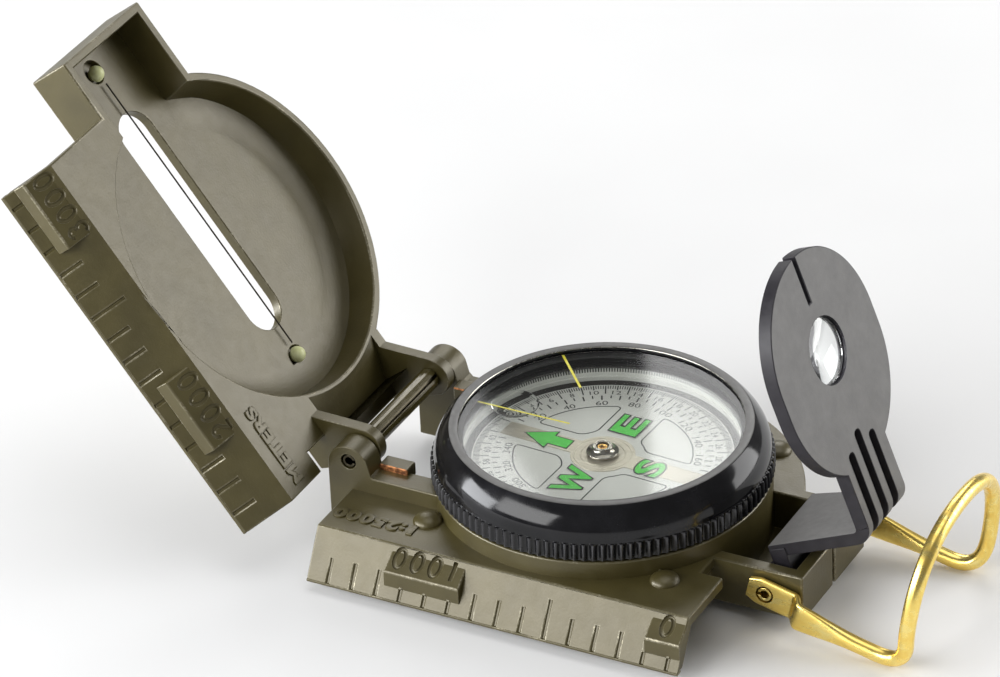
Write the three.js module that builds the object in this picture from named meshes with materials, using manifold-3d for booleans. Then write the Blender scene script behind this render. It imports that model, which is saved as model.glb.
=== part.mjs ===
// A folding lensatic compass, shown open: cover raised, lens bracket up, thumb loop lowered.
//
// Frame: millimetres, +Z up. The origin is the dial axis at the underside of the bowl's foot. The
// ruler edge runs along X on the -Y side, the cover hinge is at -X and the lens bracket at +X.
// Heights are drawn from the lower edge of the base's skirt, and the whole then stands on the foot.
// The cover is drawn as it lies when opened flat, and its group then raises it about the hinge.

import * as THREE from 'three';
import { mergeVertices } from 'three/addons/utils/BufferGeometryUtils.js';
import Module from 'manifold-3d';

const wasm = await Module();
wasm.setup();

// Clearances
const RUN = 0.3; // between pieces that move past each other
const SEAT = 0.2; // round a piece that is pressed, glued or trapped in its seat

// Base casting
const BOWL_R = 25.44;
const BOWL_BORE = 21.9;
const FOOT_RISE = 1.75; // the bowl's foot stands this far below the skirt
const FOOT_R = 24.0;
const FLOOR_THICK = 1.5;
const BOWL_TOP = 10.4;
const LIP_WALL = 1.7; // wall of the lip that the bezel turns on
const LIP_RISE = 3.5;
const PLATE_TOP = 7.5;
const PLATE_THICK = 1.8;
const PLATE_LEFT = -34.3;
const PLATE_RIGHT = 27.1;
const FLANGE_R = 30.2; // rounded corners of the far side
const FLANGE_WIDTH = 1.36; // from the bowl to the straight edge of the far side
const NOTCH_DEPTH = 3.6; // cut in the near right corner beside the lens pocket
const NOTCH_WIDTH = 4.4;
const BOSS_R = 2.2;
const BOSS_CROWN_R = 1.3;
const BOSS_RISE = 1.2;
const BOSS_PITCH_X = 39.2;
const BOSS_PITCH_Y = 38.8;

// Ruler along the near edge, at 1 to 25 000
const RULER_REACH = 31.1;
const RULER_WALL = 1.6;
const BASE_FOLD = 26.8;
const BASE_EDGE_Z = 0.3;
const COVER_FOLD = 26.0;
const COVER_EDGE_Z = 0.6;
const TICK_PITCH = 4.0; // 100 metres on the ground
const TICK_ZERO = 25.25;
const BASE_MARKS = [0, 14]; // in hundreds of metres
const COVER_MARKS = [16, 30];
const TICK_WIDTH = 0.55;
const TICK_RAISE = 0.3;
const TICK_LENGTH = 3.6;
const LONG_TICK = 5.6;
const TICK_START = 0.35; // distance of a tick from the ruler's edge
const NUMBER_PAD_BACK = 0.8; // how far a number pad starts behind the fold
const NUMBER_PAD_DROP = 2.95;
const NUMBER_PAD_INSET = 0.9; // how far the pad's front stays behind the ruler's edge
const NUMBER_PAD_FOOT = 1.8; // height of the pad's foot above the ruler's edge
const BASE_PADS = [[-21.5, -9.0], [21.4, PLATE_RIGHT]];

// Cover hinge
const HINGE_X = -34.56;
const HINGE_Z = 12.21;
const HINGE_PIN_R = 1.05;
const SPRING_PIN_WALL = 0.4;
const SPRING_PIN_SLIT = 0.5;
const EAR_INNER = 12.2;
const EAR_WIDTH = 4.0;
const EAR_R = 3.43;
const EAR_SHIFT = 0.1; // the ear's round centre lies this far behind the pin
const EAR_DROP = 0.9; // and this far below it
const EAR_LEAVE = 25; // degrees above level where the ear's round meets the rail's step
const EAR_FILLET = 0.4; // height of the step from the ear down to the rail
const RAIL_TOP = 10.1;
const STOP_LENGTH = 4.8;
const STOP_WIDTH = 1.7;
const STOP_THICK = 1.2;
const STOP_RISE = 1.0; // above the rail
const STOP_FROM_HINGE = 3.6;
const SLEEVE_WALL = 0.5;
const SLEEVE_SLIT = 0.6;

// Cover casting, drawn flat
const COVER_RAISED = 52.46; // degrees above flat
const COVER_LEFT = -97.2;
const COVER_RIGHT = -35.3;
const COVER_RIM_STAND = 1.56; // the rim's outside stands this far outside the bowl's
const COVER_RIM_WALL = 1.34;
const COVER_RIM_DRAFT = 0.8; // the rim's inner wall leans in this much at the floor
const COVER_FLOOR = 1.7;
const TAB_WALL = 1.4;
const TAB_OVERHANG = 0.27; // how far the tab passes the end of the lens pocket when closed
const SLOT_LENGTH = 39.9;
const SLOT_WIDTH = 7.8;
const SLOT_OFFSET = -5.7; // from the centre of the dish
const ARM_WIDTH = 2.0;
const ARM_END_R = 3.2;
const WEB_LEVEL = 4.75;
const WEB_THICK = 1.8;
const WEB_EDGE = 3.0; // from the hinge axis to the fold of the web
const HINGE_NOTCH = 0.8; // between the cover plate and the ear of the base
const COVER_PADS = [[COVER_LEFT, -85.5], [-61.0, -48.5]];

// Sight wire and its luminous dots
const WIRE_R = 0.22;
const WIRE_LEVEL = 2.35;
const DOT_R = 1.3;
const DOT_FOOT_R = 0.9;
const DOT_CROWN_R = 0.8;
const DOT_RISE = 3.1;
const DOT_HOLE_R = 1.9;
const DOT_HOLE_DEPTH = 1.1;
const DOT_HOLE_UPPER = 4.57; // from the end of the tab
const DOT_HOLE_LOWER = 7.0; // from the outside of the rim
const DOT_LEAN = 0.4; // the dot sits towards the wire in its hole

// Rotating bezel
const KNURL_STAND = 0.36; // the knurl stands proud of the bowl
const KNURL_HEIGHT = 2.96;
const KNURL_TEETH = 116;
const KNURL_DEPTH = 0.5;
const BEZEL_TOP = 18.75;
const BEZEL_TOP_R = 22.83;
const BEZEL_WINDOW_R = 21.4;
const BEZEL_SHOULDER_R = 25.3;
const BEZEL_CURVE = 0.5; // the shoulder has come in this much at half its height
const BEZEL_LIP = 0.45;
const GLASS_THICK = 0.9;
const GLASS_LAP = 0.35; // how far the glass reaches under the bezel's lip
const GLASS_RING_THICK = 0.3;
const GLASS_RING_WIDTH = 0.9;
const SNAP_RING_THICK = 0.6;
const SNAP_RING_WIDTH = 0.9;

// Liquid capsule and card
const CAPSULE_GAP = 0.3; // between the capsule and the bowl
const CAPSULE_WALL = 0.8;
const CAPSULE_FLOOR = 1.2;
const CUSHION_THICK = 0.8;
const CRYSTAL_THICK = 1.3;
const GASKET_THICK = 0.3;
const CARD_R = 19.7;
const CARD_LEVEL = 13.0;
const CARD_THICK = 0.4;
const NEEDLE_HALF = 16.5;
const NEEDLE_WIDTH = 3.4;
const NEEDLE_DISC_R = 4.9;
const HUB_R = 2.5;
const HUB_TOP_R = 1.5;
const HUB_RISE = 1.6;
const HUB_FLANGE_R = 6.0;
const HUB_FLANGE_THICK = 0.7;
const JEWEL_R = 0.8;
const JEWEL_CUP_R = 0.55;
const JEWEL_CUP_DEPTH = 0.9;
const POST_R = 1.2;
const POST_FOOT_R = 3.2;
const POST_FOOT_THICK = 0.8;
const PLUG_R = 1.5;
const PLUG_FROM_AXIS = 14.0;

// Lens pocket, lens bracket and lens
const POCKET_HALF = 10.9;
const POCKET_WALL = 2.1;
const POCKET_END_WALL = 2.0;
const POCKET_FLOOR = 1.2;
const POCKET_PAST_PIN = 3.6;
const POCKET_GROOVE = 0.7;
const PIVOT_Z = 4.0;
const BRACKET_PIN_R = 1.1;
const LENS_LEAN = 20.65; // degrees that the open bracket leans back
const LENS_SHEET = 2.0; // thickness of the bracket's arm
const LENS_PLATE = 2.2; // thickness of the lens plate
const FOLD_GAP = 0.6; // the folded bracket clears the bezel by this much
const LENS_DISC_R = 15.2;
const LENS_NECK_HALF = 6.5;
const LENS_KNUCKLE_HALF = 7.8;
const LENS_BARREL_R = 2.3;
const LENS_WEB_START = 0.5;
const LENS_WEB_THICK = 2.7;
const LENS_BEND_R = 3.0;
const LENS_HOLE_R = 5.13;
const LENS_SEAT_LIP = 0.6;
const LENS_CROWN = 0.45;
const LENS_EDGE = 0.7;
const LENS_RING_THICK = 0.35;
const LENS_RING_WIDTH = 0.5;
const SIGHT_SLOT_WIDTH = 0.9;
const SIGHT_SLOT_DEPTH = 7.5;
const GRIP_PITCH = 3.5;
const GRIP_WIDTH = 1.3;
const GRIP_DEPTH = 0.8;
const GRIP_BELOW_LENS = [15, 13, 15];

// Thumb loop
const LOOP_DROP = 13.2; // degrees that the arms hang below level
const LOOP_HALF = 13.6;
const LOOP_WIRE_R = 1.2;
const LOOP_ARM = 23.8; // from the pin to the elbows
const LOOP_BACK = 2.8; // length of the strap behind the pin
const LOOP_KINK = 4.2; // from the pin to where the arms step out
const LOOP_KINK_LENGTH = 2.2;
const LOOP_RISE_ANGLE = 95.8; // degrees between the arms and the arch
const LOOP_ELBOW = 5.0;
const LOOP_SPREAD = 14; // degrees that the legs lean out from each other
const LOOP_LEG_PULL = 3.1; // handle of the arch's curve at the leg
const LOOP_CROWN_PULL = 15.9; // and at its crown
const LOOP_CROWN = 21.75; // height of the arch
const STRAP_THICK = 1.0;
const STRAP_HEIGHT = 4.6;
const STRAP_END_HEIGHT = 2.8;
const STRAP_LENGTH = 8.0;
const STRAP_TAPER = 12.0;

// Places that follow from the driving dimensions
const BOWL_FLOOR = FLOOR_THICK - FOOT_RISE;
const FLANGE_FAR = BOWL_R + FLANGE_WIDTH;
const COVER_RIM_R = BOWL_R + COVER_RIM_STAND;
const LIP_R = BOWL_BORE + LIP_WALL;
const LIP_TOP = BOWL_TOP + LIP_RISE;
const KNURL_R = BOWL_R + KNURL_STAND;
const BEZEL_BOTTOM = BOWL_TOP + RUN;
const KNURL_TOP = BEZEL_BOTTOM + KNURL_HEIGHT;
const BEZEL_BORE = LIP_R + RUN;
const GLASS_R = BEZEL_WINDOW_R + GLASS_LAP;
const GLASS_TOP = BEZEL_TOP - BEZEL_LIP;
const GLASS_BOTTOM = GLASS_TOP - GLASS_THICK;
const GLASS_BORE = GLASS_R + SEAT;
const SNAP_LEVEL = (BOWL_TOP + LIP_TOP) / 2;
const SNAP_RING_R = LIP_R - SNAP_RING_WIDTH / 2 + RUN / 2;
const CAPSULE_R = BOWL_BORE - CAPSULE_GAP;
const CAPSULE_BORE = CAPSULE_R - CAPSULE_WALL;
const CAPSULE_BOTTOM = BOWL_FLOOR + CUSHION_THICK;
const CAPSULE_INSIDE = CAPSULE_BOTTOM + CAPSULE_FLOOR;
const CRYSTAL_TOP = GLASS_BOTTOM - GLASS_RING_THICK - SEAT;
const CRYSTAL_BOTTOM = CRYSTAL_TOP - CRYSTAL_THICK;
const CAPSULE_TOP = CRYSTAL_BOTTOM - GASKET_THICK;
const CARD_UNDER = CARD_LEVEL - CARD_THICK;
const EAR_OUTER = EAR_INNER + EAR_WIDTH;
const EAR_LEFT = HINGE_X - EAR_R - EAR_SHIFT;
const ARM_OUTER = EAR_INNER - RUN;
const ARM_INNER = ARM_OUTER - ARM_WIDTH;
const ARM_BORE = HINGE_PIN_R + SEAT;
const DISH_X = 2 * HINGE_X;
const LENS_ARM_UNDER = PLATE_TOP + RUN - PIVOT_Z;
const LENS_ARM_TOP = LENS_ARM_UNDER + LENS_SHEET;
const PIVOT_X = KNURL_R + FOLD_GAP + LENS_ARM_TOP;
const LENS_INNER_FACE = BEZEL_TOP + FOLD_GAP - PIVOT_Z;
const LENS_OUTER_FACE = LENS_INNER_FACE + LENS_PLATE;
const LENS_CENTRE = PIVOT_X; // folded, the lens lies over the dial axis
const POCKET_END_INNER = PIVOT_X + POCKET_PAST_PIN;
const POCKET_END = POCKET_END_INNER + POCKET_END_WALL;
const TAB_END = DISH_X - POCKET_END - TAB_OVERHANG;
const DOT_HOLE_UPPER_X = TAB_END + DOT_HOLE_UPPER;
const DOT_HOLE_LOWER_X = DISH_X + COVER_RIM_R - DOT_HOLE_LOWER;
const STRAP_FACE = POCKET_HALF + RUN;
const STRAP_MIDDLE = STRAP_FACE + STRAP_THICK / 2;

// Materials
function finish(color, roughness, metalness) {
  return new THREE.MeshStandardMaterial({ color, roughness, metalness });
}

const OLIVE = finish(0x5a5442, 0.55, 0.1);
const BLACK_GLOSS = finish(0x101014, 0.2, 0);
const BRACKET_GREY = finish(0x4a484a, 0.6, 0);
const BRASS = finish(0xd8b04a, 0.25, 1);
const STEEL = finish(0xb0aca4, 0.3, 1);
const CARD_WHITE = finish(0xdcdcd4, 0.5, 0);
const NEEDLE_METAL = finish(0xc0b49a, 0.4, 0.8);
const RUBBER = finish(0x202020, 0.8, 0);
const FOAM = finish(0x3a3a38, 0.9, 0);
const LUMINOUS = finish(0xe2e6b4, 0.5, 0);
const CLEAR_GLASS = finish(0xe8f0f0, 0.05, 0);

const SMOOTH = 96; // sides of the large rounds
const FINE = 24; // sides of the small rounds
const PAST = 1; // how far a cutter reaches past the face that it cuts

const X_AXIS = new THREE.Vector3(1, 0, 0);
const Y_AXIS = new THREE.Vector3(0, 1, 0);
const Z_AXIS = new THREE.Vector3(0, 0, 1);
const radians = THREE.MathUtils.degToRad;

// A closed geometry as a solid that can be joined and cut
function solid(geometry) {
  const bare = geometry.clone();
  bare.deleteAttribute('normal');
  bare.deleteAttribute('uv');
  const merged = mergeVertices(bare, 1e-4);
  const corners = merged.index.array;
  const kept = [];
  for (let i = 0; i < corners.length; i += 3) {
    const [a, b, c] = corners.slice(i, i + 3);
    if (a !== b && b !== c && c !== a) kept.push(a, b, c);
  }
  return new wasm.Manifold(new wasm.Mesh({
    numProp: 3,
    vertProperties: new Float32Array(merged.attributes.position.array),
    triVerts: new Uint32Array(kept),
  }));
}

function join(solids) {
  return solids.reduce((whole, next) => whole.add(next));
}

function cut(body, cutters) {
  return cutters.reduce((rest, cutter) => rest.subtract(cutter), body);
}

// Adds one finished piece to a group
function piece(parent, name, body, material) {
  const found = body.getMesh();
  const geometry = new THREE.BufferGeometry();
  geometry.setAttribute('position', new THREE.BufferAttribute(found.vertProperties, 3));
  geometry.setIndex(new THREE.BufferAttribute(found.triVerts, 1));
  geometry.computeVertexNormals();
  const mesh = new THREE.Mesh(geometry, material);
  mesh.name = name;
  parent.add(mesh);
}

function extruded(shape, depth, curveSegments) {
  return new THREE.ExtrudeGeometry(shape, { depth, curveSegments, bevelEnabled: false });
}

// An outline in X and Y, standing from one level to another
function standing(shape, from, to, curveSegments = FINE) {
  return solid(extruded(shape, to - from, curveSegments).translate(0, 0, from));
}

// An outline in X and Z, running across from one Y to another
function across(shape, from, to, curveSegments = FINE) {
  const turn = new THREE.Matrix4().makeBasis(X_AXIS, Z_AXIS, Y_AXIS.clone().negate());
  return solid(extruded(shape, to - from, curveSegments).applyMatrix4(turn).translate(0, to, 0));
}

// An outline in Y and Z, running along from one X to another
function along(shape, from, to, curveSegments = FINE) {
  const turn = new THREE.Matrix4().makeBasis(Y_AXIS, Z_AXIS, X_AXIS);
  return solid(extruded(shape, to - from, curveSegments).applyMatrix4(turn).translate(from, 0, 0));
}

function outline(points) {
  return new THREE.Shape(points.map(([u, v]) => new THREE.Vector2(u, v)));
}

function disc(u, v, radius) {
  return new THREE.Shape().absarc(u, v, radius, 0, 2 * Math.PI);
}

function block(x0, x1, y0, y1, z0, z1) {
  return standing(outline([[x0, y0], [x1, y0], [x1, y1], [x0, y1]]), z0, z1);
}

// A profile of radius and height, turned about Z
function turned(profile, sides = SMOOTH) {
  const points = profile.map(([r, z]) => new THREE.Vector2(r, z));
  return solid(new THREE.LatheGeometry(points, sides).rotateX(Math.PI / 2));
}

function drum(radius, bottom, top, sides = SMOOTH) {
  return turned([[0, bottom], [radius, bottom], [radius, top], [0, top]], sides);
}

function ring(inner, outer, bottom, top, sides = SMOOTH) {
  return turned([[inner, bottom], [outer, bottom], [outer, top], [inner, top], [inner, bottom]], sides);
}

// A slotted tube along Y, as a rolled spring pin or sleeve is
function slottedTube(x, z, inner, outer, slit, facing, half) {
  const outerHalf = Math.asin(slit / 2 / outer);
  const innerHalf = Math.asin(slit / 2 / inner);
  const shape = new THREE.Shape();
  shape.absarc(x, z, outer, facing + outerHalf, facing + 2 * Math.PI - outerHalf, false);
  shape.absarc(x, z, inner, facing + 2 * Math.PI - innerHalf, facing + innerHalf, true);
  return across(shape, -half, half, FINE / 2);
}

// The ruler's sloping face, from its fold down to its edge
function rulerSlope(fold, edgeZ) {
  const foot = new THREE.Vector2(-RULER_REACH, edgeZ);
  const rise = new THREE.Vector2(-fold, PLATE_TOP).sub(foot);
  const up = rise.clone().normalize();
  const out = new THREE.Vector2(-up.y, up.x);
  const on = (s, h) => foot.clone().addScaledVector(up, s).addScaledVector(out, h);
  return { on, length: rise.length(), depth: RULER_WALL / up.y };
}

function rulerSkirt(fold, edgeZ, from, to) {
  const { depth } = rulerSlope(fold, edgeZ);
  const face = [[-fold, PLATE_TOP], [-RULER_REACH, edgeZ]];
  const back = [[-RULER_REACH + depth, edgeZ], [-fold + depth, PLATE_TOP]];
  return along(outline([...face, ...back]), from, to);
}

function rulerTick(fold, edgeZ, x, length) {
  const { on } = rulerSlope(fold, edgeZ);
  const sunk = RULER_WALL / 2;
  const end = TICK_START + length;
  const corners = [on(TICK_START, TICK_RAISE), on(TICK_START, -sunk), on(end, -sunk), on(end, TICK_RAISE)];
  return along(new THREE.Shape(corners), x - TICK_WIDTH / 2, x + TICK_WIDTH / 2);
}

// A pad for a raised number: its face is less steep than the ruler's
function numberPad(fold, edgeZ, from, to) {
  const { on, length } = rulerSlope(fold, edgeZ);
  const front = NUMBER_PAD_INSET - RULER_REACH;
  const foot = edgeZ + NUMBER_PAD_FOOT;
  const sunk = RULER_WALL / 2;
  const low = on(NUMBER_PAD_FOOT, -sunk);
  const high = on(length, -sunk);
  const face = [[NUMBER_PAD_BACK - fold, PLATE_TOP], [front, PLATE_TOP - NUMBER_PAD_DROP], [front, foot]];
  return along(outline([...face, [low.x, low.y], [high.x, high.y]]), from, to);
}

// Marks every 100 metres between two marks; every fifth one between the thousands is longer
function rulerTicks(fold, edgeZ, [first, last]) {
  const ticks = [];
  for (let mark = first; mark <= last; mark += 1) {
    const length = mark % 10 === 5 ? LONG_TICK : TICK_LENGTH;
    ticks.push(rulerTick(fold, edgeZ, TICK_ZERO - mark * TICK_PITCH, length));
  }
  return ticks;
}

// Base: bowl, plate, ruler, hinge ears and lens pocket in one casting
function basePlate() {
  const shape = new THREE.Shape();
  const notchX = PLATE_RIGHT - NOTCH_DEPTH;
  const notchY = POCKET_HALF + NOTCH_WIDTH;
  const railMiddle = (EAR_INNER + EAR_OUTER) / 2;
  const innerX = -Math.sqrt(BOWL_R ** 2 - railMiddle ** 2) + RUN;
  const pocketTurn = Math.asin(POCKET_HALF / FLANGE_R);
  const farTurn = Math.asin(FLANGE_FAR / FLANGE_R);
  const railTurn = Math.asin(railMiddle / FLANGE_R);
  shape.moveTo(PLATE_LEFT, -BASE_FOLD);
  shape.lineTo(PLATE_RIGHT, -BASE_FOLD);
  shape.lineTo(PLATE_RIGHT, -notchY);
  shape.lineTo(notchX, -notchY);
  shape.lineTo(notchX, 0);
  shape.absarc(0, 0, FLANGE_R, pocketTurn, farTurn, false);
  shape.absarc(0, 0, FLANGE_R, Math.PI - farTurn, Math.PI - railTurn, false);
  shape.lineTo(innerX, railMiddle);
  shape.lineTo(innerX, -railMiddle);
  shape.lineTo(PLATE_LEFT, -railMiddle);
  return standing(shape, PLATE_TOP - PLATE_THICK, PLATE_TOP);
}

function hingeRail(side) {
  const centreX = EAR_LEFT + EAR_R;
  const centreZ = HINGE_Z - EAR_DROP;
  const leave = radians(EAR_LEAVE);
  const railStart = centreX + EAR_R + RUN;
  const bowlX = -Math.sqrt(BOWL_R ** 2 - EAR_OUTER ** 2) + PAST;
  const shape = new THREE.Shape();
  shape.moveTo(EAR_LEFT, 0);
  shape.lineTo(bowlX, 0);
  shape.lineTo(bowlX, RAIL_TOP);
  shape.lineTo(railStart + EAR_FILLET, RAIL_TOP);
  shape.lineTo(railStart, RAIL_TOP + EAR_FILLET);
  shape.absarc(centreX, centreZ, EAR_R, leave, Math.PI, false);
  const inner = side * EAR_INNER;
  const outer = side * EAR_OUTER;
  return across(shape, Math.min(inner, outer), Math.max(inner, outer), FINE / 2);
}

function hingeStop(side) {
  const from = HINGE_X + STOP_FROM_HINGE;
  const inner = side * (EAR_INNER - STOP_WIDTH);
  const outer = side * (EAR_INNER + PAST);
  const low = Math.min(inner, outer);
  const high = Math.max(inner, outer);
  return block(from, from + STOP_LENGTH, low, high, RAIL_TOP - STOP_THICK, RAIL_TOP + STOP_RISE);
}

function cornerBoss(x, y) {
  const foot = PLATE_TOP - PLATE_THICK / 2;
  const top = PLATE_TOP + BOSS_RISE;
  const profile = [[0, foot], [BOSS_R, foot], [BOSS_R, top - BOSS_RISE / 2], [BOSS_CROWN_R, top], [0, top]];
  return turned(profile, FINE).translate([x, y, 0]);
}

function pinBore(x, z, radius, half) {
  return across(disc(x, z, radius), -half, half, FINE / 2);
}

function baseCase() {
  const bosses = [];
  const rails = [];
  for (const side of [-1, 1]) {
    rails.push(hingeRail(side), hingeStop(side));
    bosses.push(cornerBoss(BOSS_PITCH_X / 2, side * BOSS_PITCH_Y / 2));
    bosses.push(cornerBoss(-BOSS_PITCH_X / 2, side * BOSS_PITCH_Y / 2));
  }
  const pads = BASE_PADS.map(([from, to]) => numberPad(BASE_FOLD, BASE_EDGE_Z, from, to));
  const body = join([
    drum(FOOT_R, -FOOT_RISE, PLATE_TOP),
    drum(BOWL_R, 0, BOWL_TOP),
    drum(LIP_R, 0, LIP_TOP),
    basePlate(),
    rulerSkirt(BASE_FOLD, BASE_EDGE_Z, PLATE_LEFT, PLATE_RIGHT),
    ...pads,
    ...rulerTicks(BASE_FOLD, BASE_EDGE_Z, BASE_MARKS),
    ...rails,
    ...bosses,
    block(BOWL_BORE, POCKET_END, -POCKET_HALF, POCKET_HALF, 0, PLATE_TOP),
  ]);
  const pocketInner = POCKET_HALF - POCKET_WALL;
  const pocketTop = PLATE_TOP + PAST;
  const pocket = block(BOWL_BORE, POCKET_END_INNER, -pocketInner, pocketInner, POCKET_FLOOR, pocketTop);
  const groove = POCKET_GROOVE / 2;
  return cut(body, [
    drum(BOWL_BORE, BOWL_FLOOR, LIP_TOP + PAST),
    pocket.subtract(drum(BOWL_R, 0, BOWL_TOP)),
    block(POCKET_END - POCKET_GROOVE, POCKET_END + PAST, -groove, groove, -PAST, pocketTop),
    pinBore(HINGE_X, HINGE_Z, HINGE_PIN_R + SEAT, EAR_OUTER + PAST),
    pinBore(PIVOT_X, PIVOT_Z, BRACKET_PIN_R + SEAT, POCKET_HALF + PAST),
    snapGroove(SNAP_RING_R - SEAT, LIP_R + PAST),
  ]);
}

// Groove for the snap ring that keeps the bezel on the lip
function snapGroove(inner, outer) {
  const half = SNAP_RING_THICK / 2 + SEAT;
  return ring(inner, outer, SNAP_LEVEL - half, SNAP_LEVEL + half);
}

// Bezel: a knurled foot, a sloping shoulder and a flat ring over the glass
function knurlOutline() {
  const points = [];
  for (let tooth = 0; tooth < KNURL_TEETH; tooth += 1) {
    for (const [share, radius] of [[0, KNURL_R], [0.5, KNURL_R - KNURL_DEPTH]]) {
      const angle = 2 * Math.PI * (tooth + share) / KNURL_TEETH;
      points.push([radius * Math.cos(angle), radius * Math.sin(angle)]);
    }
  }
  return outline(points);
}

function bezelRing() {
  const core = BEZEL_SHOULDER_R - KNURL_DEPTH;
  const shoulder = turned([
    [0, BEZEL_BOTTOM], [core, BEZEL_BOTTOM], [core, KNURL_TOP], [BEZEL_SHOULDER_R, KNURL_TOP],
    [BEZEL_SHOULDER_R - BEZEL_CURVE, (KNURL_TOP + BEZEL_TOP) / 2], [BEZEL_TOP_R, BEZEL_TOP], [0, BEZEL_TOP],
  ]);
  const body = shoulder.add(standing(knurlOutline(), BEZEL_BOTTOM, KNURL_TOP));
  return cut(body, [
    drum(BEZEL_BORE, BEZEL_BOTTOM - PAST, LIP_TOP + RUN),
    drum(GLASS_BORE, BEZEL_BOTTOM, GLASS_TOP),
    drum(BEZEL_WINDOW_R, BEZEL_BOTTOM, BEZEL_TOP + PAST),
    snapGroove(BEZEL_BORE - RUN, SNAP_RING_R + SNAP_RING_WIDTH + SEAT),
  ]);
}

// Capsule: a cup of liquid closed by a crystal, with the pivot at its centre
function capsulePan() {
  const cup = turned([
    [0, CAPSULE_BOTTOM], [CAPSULE_R, CAPSULE_BOTTOM], [CAPSULE_R, CAPSULE_TOP], [CAPSULE_BORE, CAPSULE_TOP],
    [CAPSULE_BORE, CAPSULE_INSIDE], [0, CAPSULE_INSIDE],
  ]);
  const hole = drum(PLUG_R + SEAT, CAPSULE_BOTTOM - PAST, CAPSULE_INSIDE + PAST, FINE);
  return cut(cup, [hole.translate([PLUG_FROM_AXIS, 0, 0])]);
}

function pivotPost() {
  const foot = CAPSULE_INSIDE + POST_FOOT_THICK;
  const tip = CARD_LEVEL;
  const shaft = tip - 2 * POST_R;
  return turned([
    [0, CAPSULE_INSIDE], [POST_FOOT_R, CAPSULE_INSIDE], [POST_FOOT_R, foot], [POST_R, foot],
    [POST_R, shaft], [JEWEL_R / 4, tip - RUN], [0, tip],
  ], FINE);
}

// Card: a disc with the magnet needle let into it, both carried by the hub
function needleOutline(grow) {
  const half = NEEDLE_WIDTH / 2 + grow;
  const end = NEEDLE_HALF + grow;
  const radius = NEEDLE_DISC_R + grow;
  const turn = Math.asin(half / radius);
  const shape = new THREE.Shape();
  shape.moveTo(end, -half);
  shape.lineTo(end, half);
  shape.absarc(0, 0, radius, turn, Math.PI - turn, false);
  shape.lineTo(-end, half);
  shape.lineTo(-end, -half);
  shape.absarc(0, 0, radius, Math.PI + turn, 2 * Math.PI - turn, false);
  return shape;
}

function dialCard() {
  const needleCut = standing(needleOutline(SEAT), CARD_UNDER - PAST, CARD_LEVEL + PAST, FINE / 2);
  return cut(drum(CARD_R, CARD_UNDER, CARD_LEVEL), [needleCut]);
}

function dialNeedle() {
  const body = standing(needleOutline(0), CARD_UNDER, CARD_LEVEL, FINE / 2);
  return cut(body, [drum(HUB_R - SEAT, CARD_UNDER - PAST, CARD_LEVEL + PAST, FINE)]);
}

function dialHub() {
  const stem = HUB_R - 2 * SEAT;
  const top = CARD_LEVEL + HUB_RISE;
  const flange = CARD_UNDER - HUB_FLANGE_THICK;
  const body = turned([
    [0, flange], [HUB_FLANGE_R, flange], [HUB_FLANGE_R, CARD_UNDER], [stem, CARD_UNDER],
    [stem, CARD_LEVEL + HUB_RISE / 4], [HUB_R, CARD_LEVEL + HUB_RISE / 4],
    [HUB_R, CARD_LEVEL + HUB_RISE / 2], [HUB_TOP_R, top], [0, top],
  ], FINE);
  const well = CARD_LEVEL - RUN;
  const below = drum(POST_R + RUN, flange - PAST, well, FINE);
  return cut(body, [below, drum(JEWEL_R + SEAT, flange, top + PAST, FINE)]);
}

function jewelBearing() {
  const bottom = CARD_LEVEL - RUN;
  const top = CARD_LEVEL + HUB_RISE - RUN;
  const body = drum(JEWEL_R, bottom, top, FINE);
  const cup = turned([
    [0, bottom - PAST], [JEWEL_CUP_R, bottom - PAST], [JEWEL_CUP_R, bottom], [0, bottom + JEWEL_CUP_DEPTH],
  ], FINE);
  return cut(body, [cup]);
}

// Cover: a dish with a rim, a ruler plate beside it, a tab at the far end and two hinge arms
function coverPlate() {
  const notchX = EAR_LEFT - HINGE_NOTCH;
  const notchY = EAR_OUTER + HINGE_NOTCH;
  return standing(outline([
    [COVER_LEFT, -COVER_FOLD], [COVER_RIGHT, -COVER_FOLD], [COVER_RIGHT, -notchY], [notchX, -notchY],
    [notchX, -ARM_INNER], [COVER_LEFT, -ARM_INNER],
  ]), PLATE_TOP - PLATE_THICK, PLATE_TOP);
}

function coverArm(side) {
  const bottom = WEB_LEVEL - WEB_THICK;
  const rimX = DISH_X + COVER_RIM_R - 2 * COVER_RIM_WALL;
  const slopeX = HINGE_X - ARM_END_R - (HINGE_Z - PLATE_TOP);
  const shape = new THREE.Shape();
  shape.moveTo(rimX, bottom);
  shape.lineTo(HINGE_X, bottom);
  shape.absarc(HINGE_X, HINGE_Z, ARM_END_R, 0, radians(135), false);
  shape.lineTo(slopeX, PLATE_TOP);
  shape.lineTo(rimX, PLATE_TOP);
  const inner = side * ARM_INNER;
  const outer = side * ARM_OUTER;
  return across(shape, Math.min(inner, outer), Math.max(inner, outer), FINE / 2);
}

function coverWeb() {
  const fold = HINGE_X - WEB_EDGE;
  const rimX = DISH_X + COVER_RIM_R - COVER_RIM_WALL / 2;
  return across(outline([
    [rimX - COVER_RIM_WALL, WEB_LEVEL - WEB_THICK], [HINGE_X, WEB_LEVEL - WEB_THICK], [HINGE_X, WEB_LEVEL],
    [fold, WEB_LEVEL], [rimX, PLATE_TOP], [rimX - COVER_RIM_WALL, PLATE_TOP],
  ]), -ARM_OUTER, ARM_OUTER);
}

function coverTab() {
  return block(TAB_END, DISH_X, -POCKET_HALF, POCKET_HALF, 0, PLATE_TOP);
}

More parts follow.
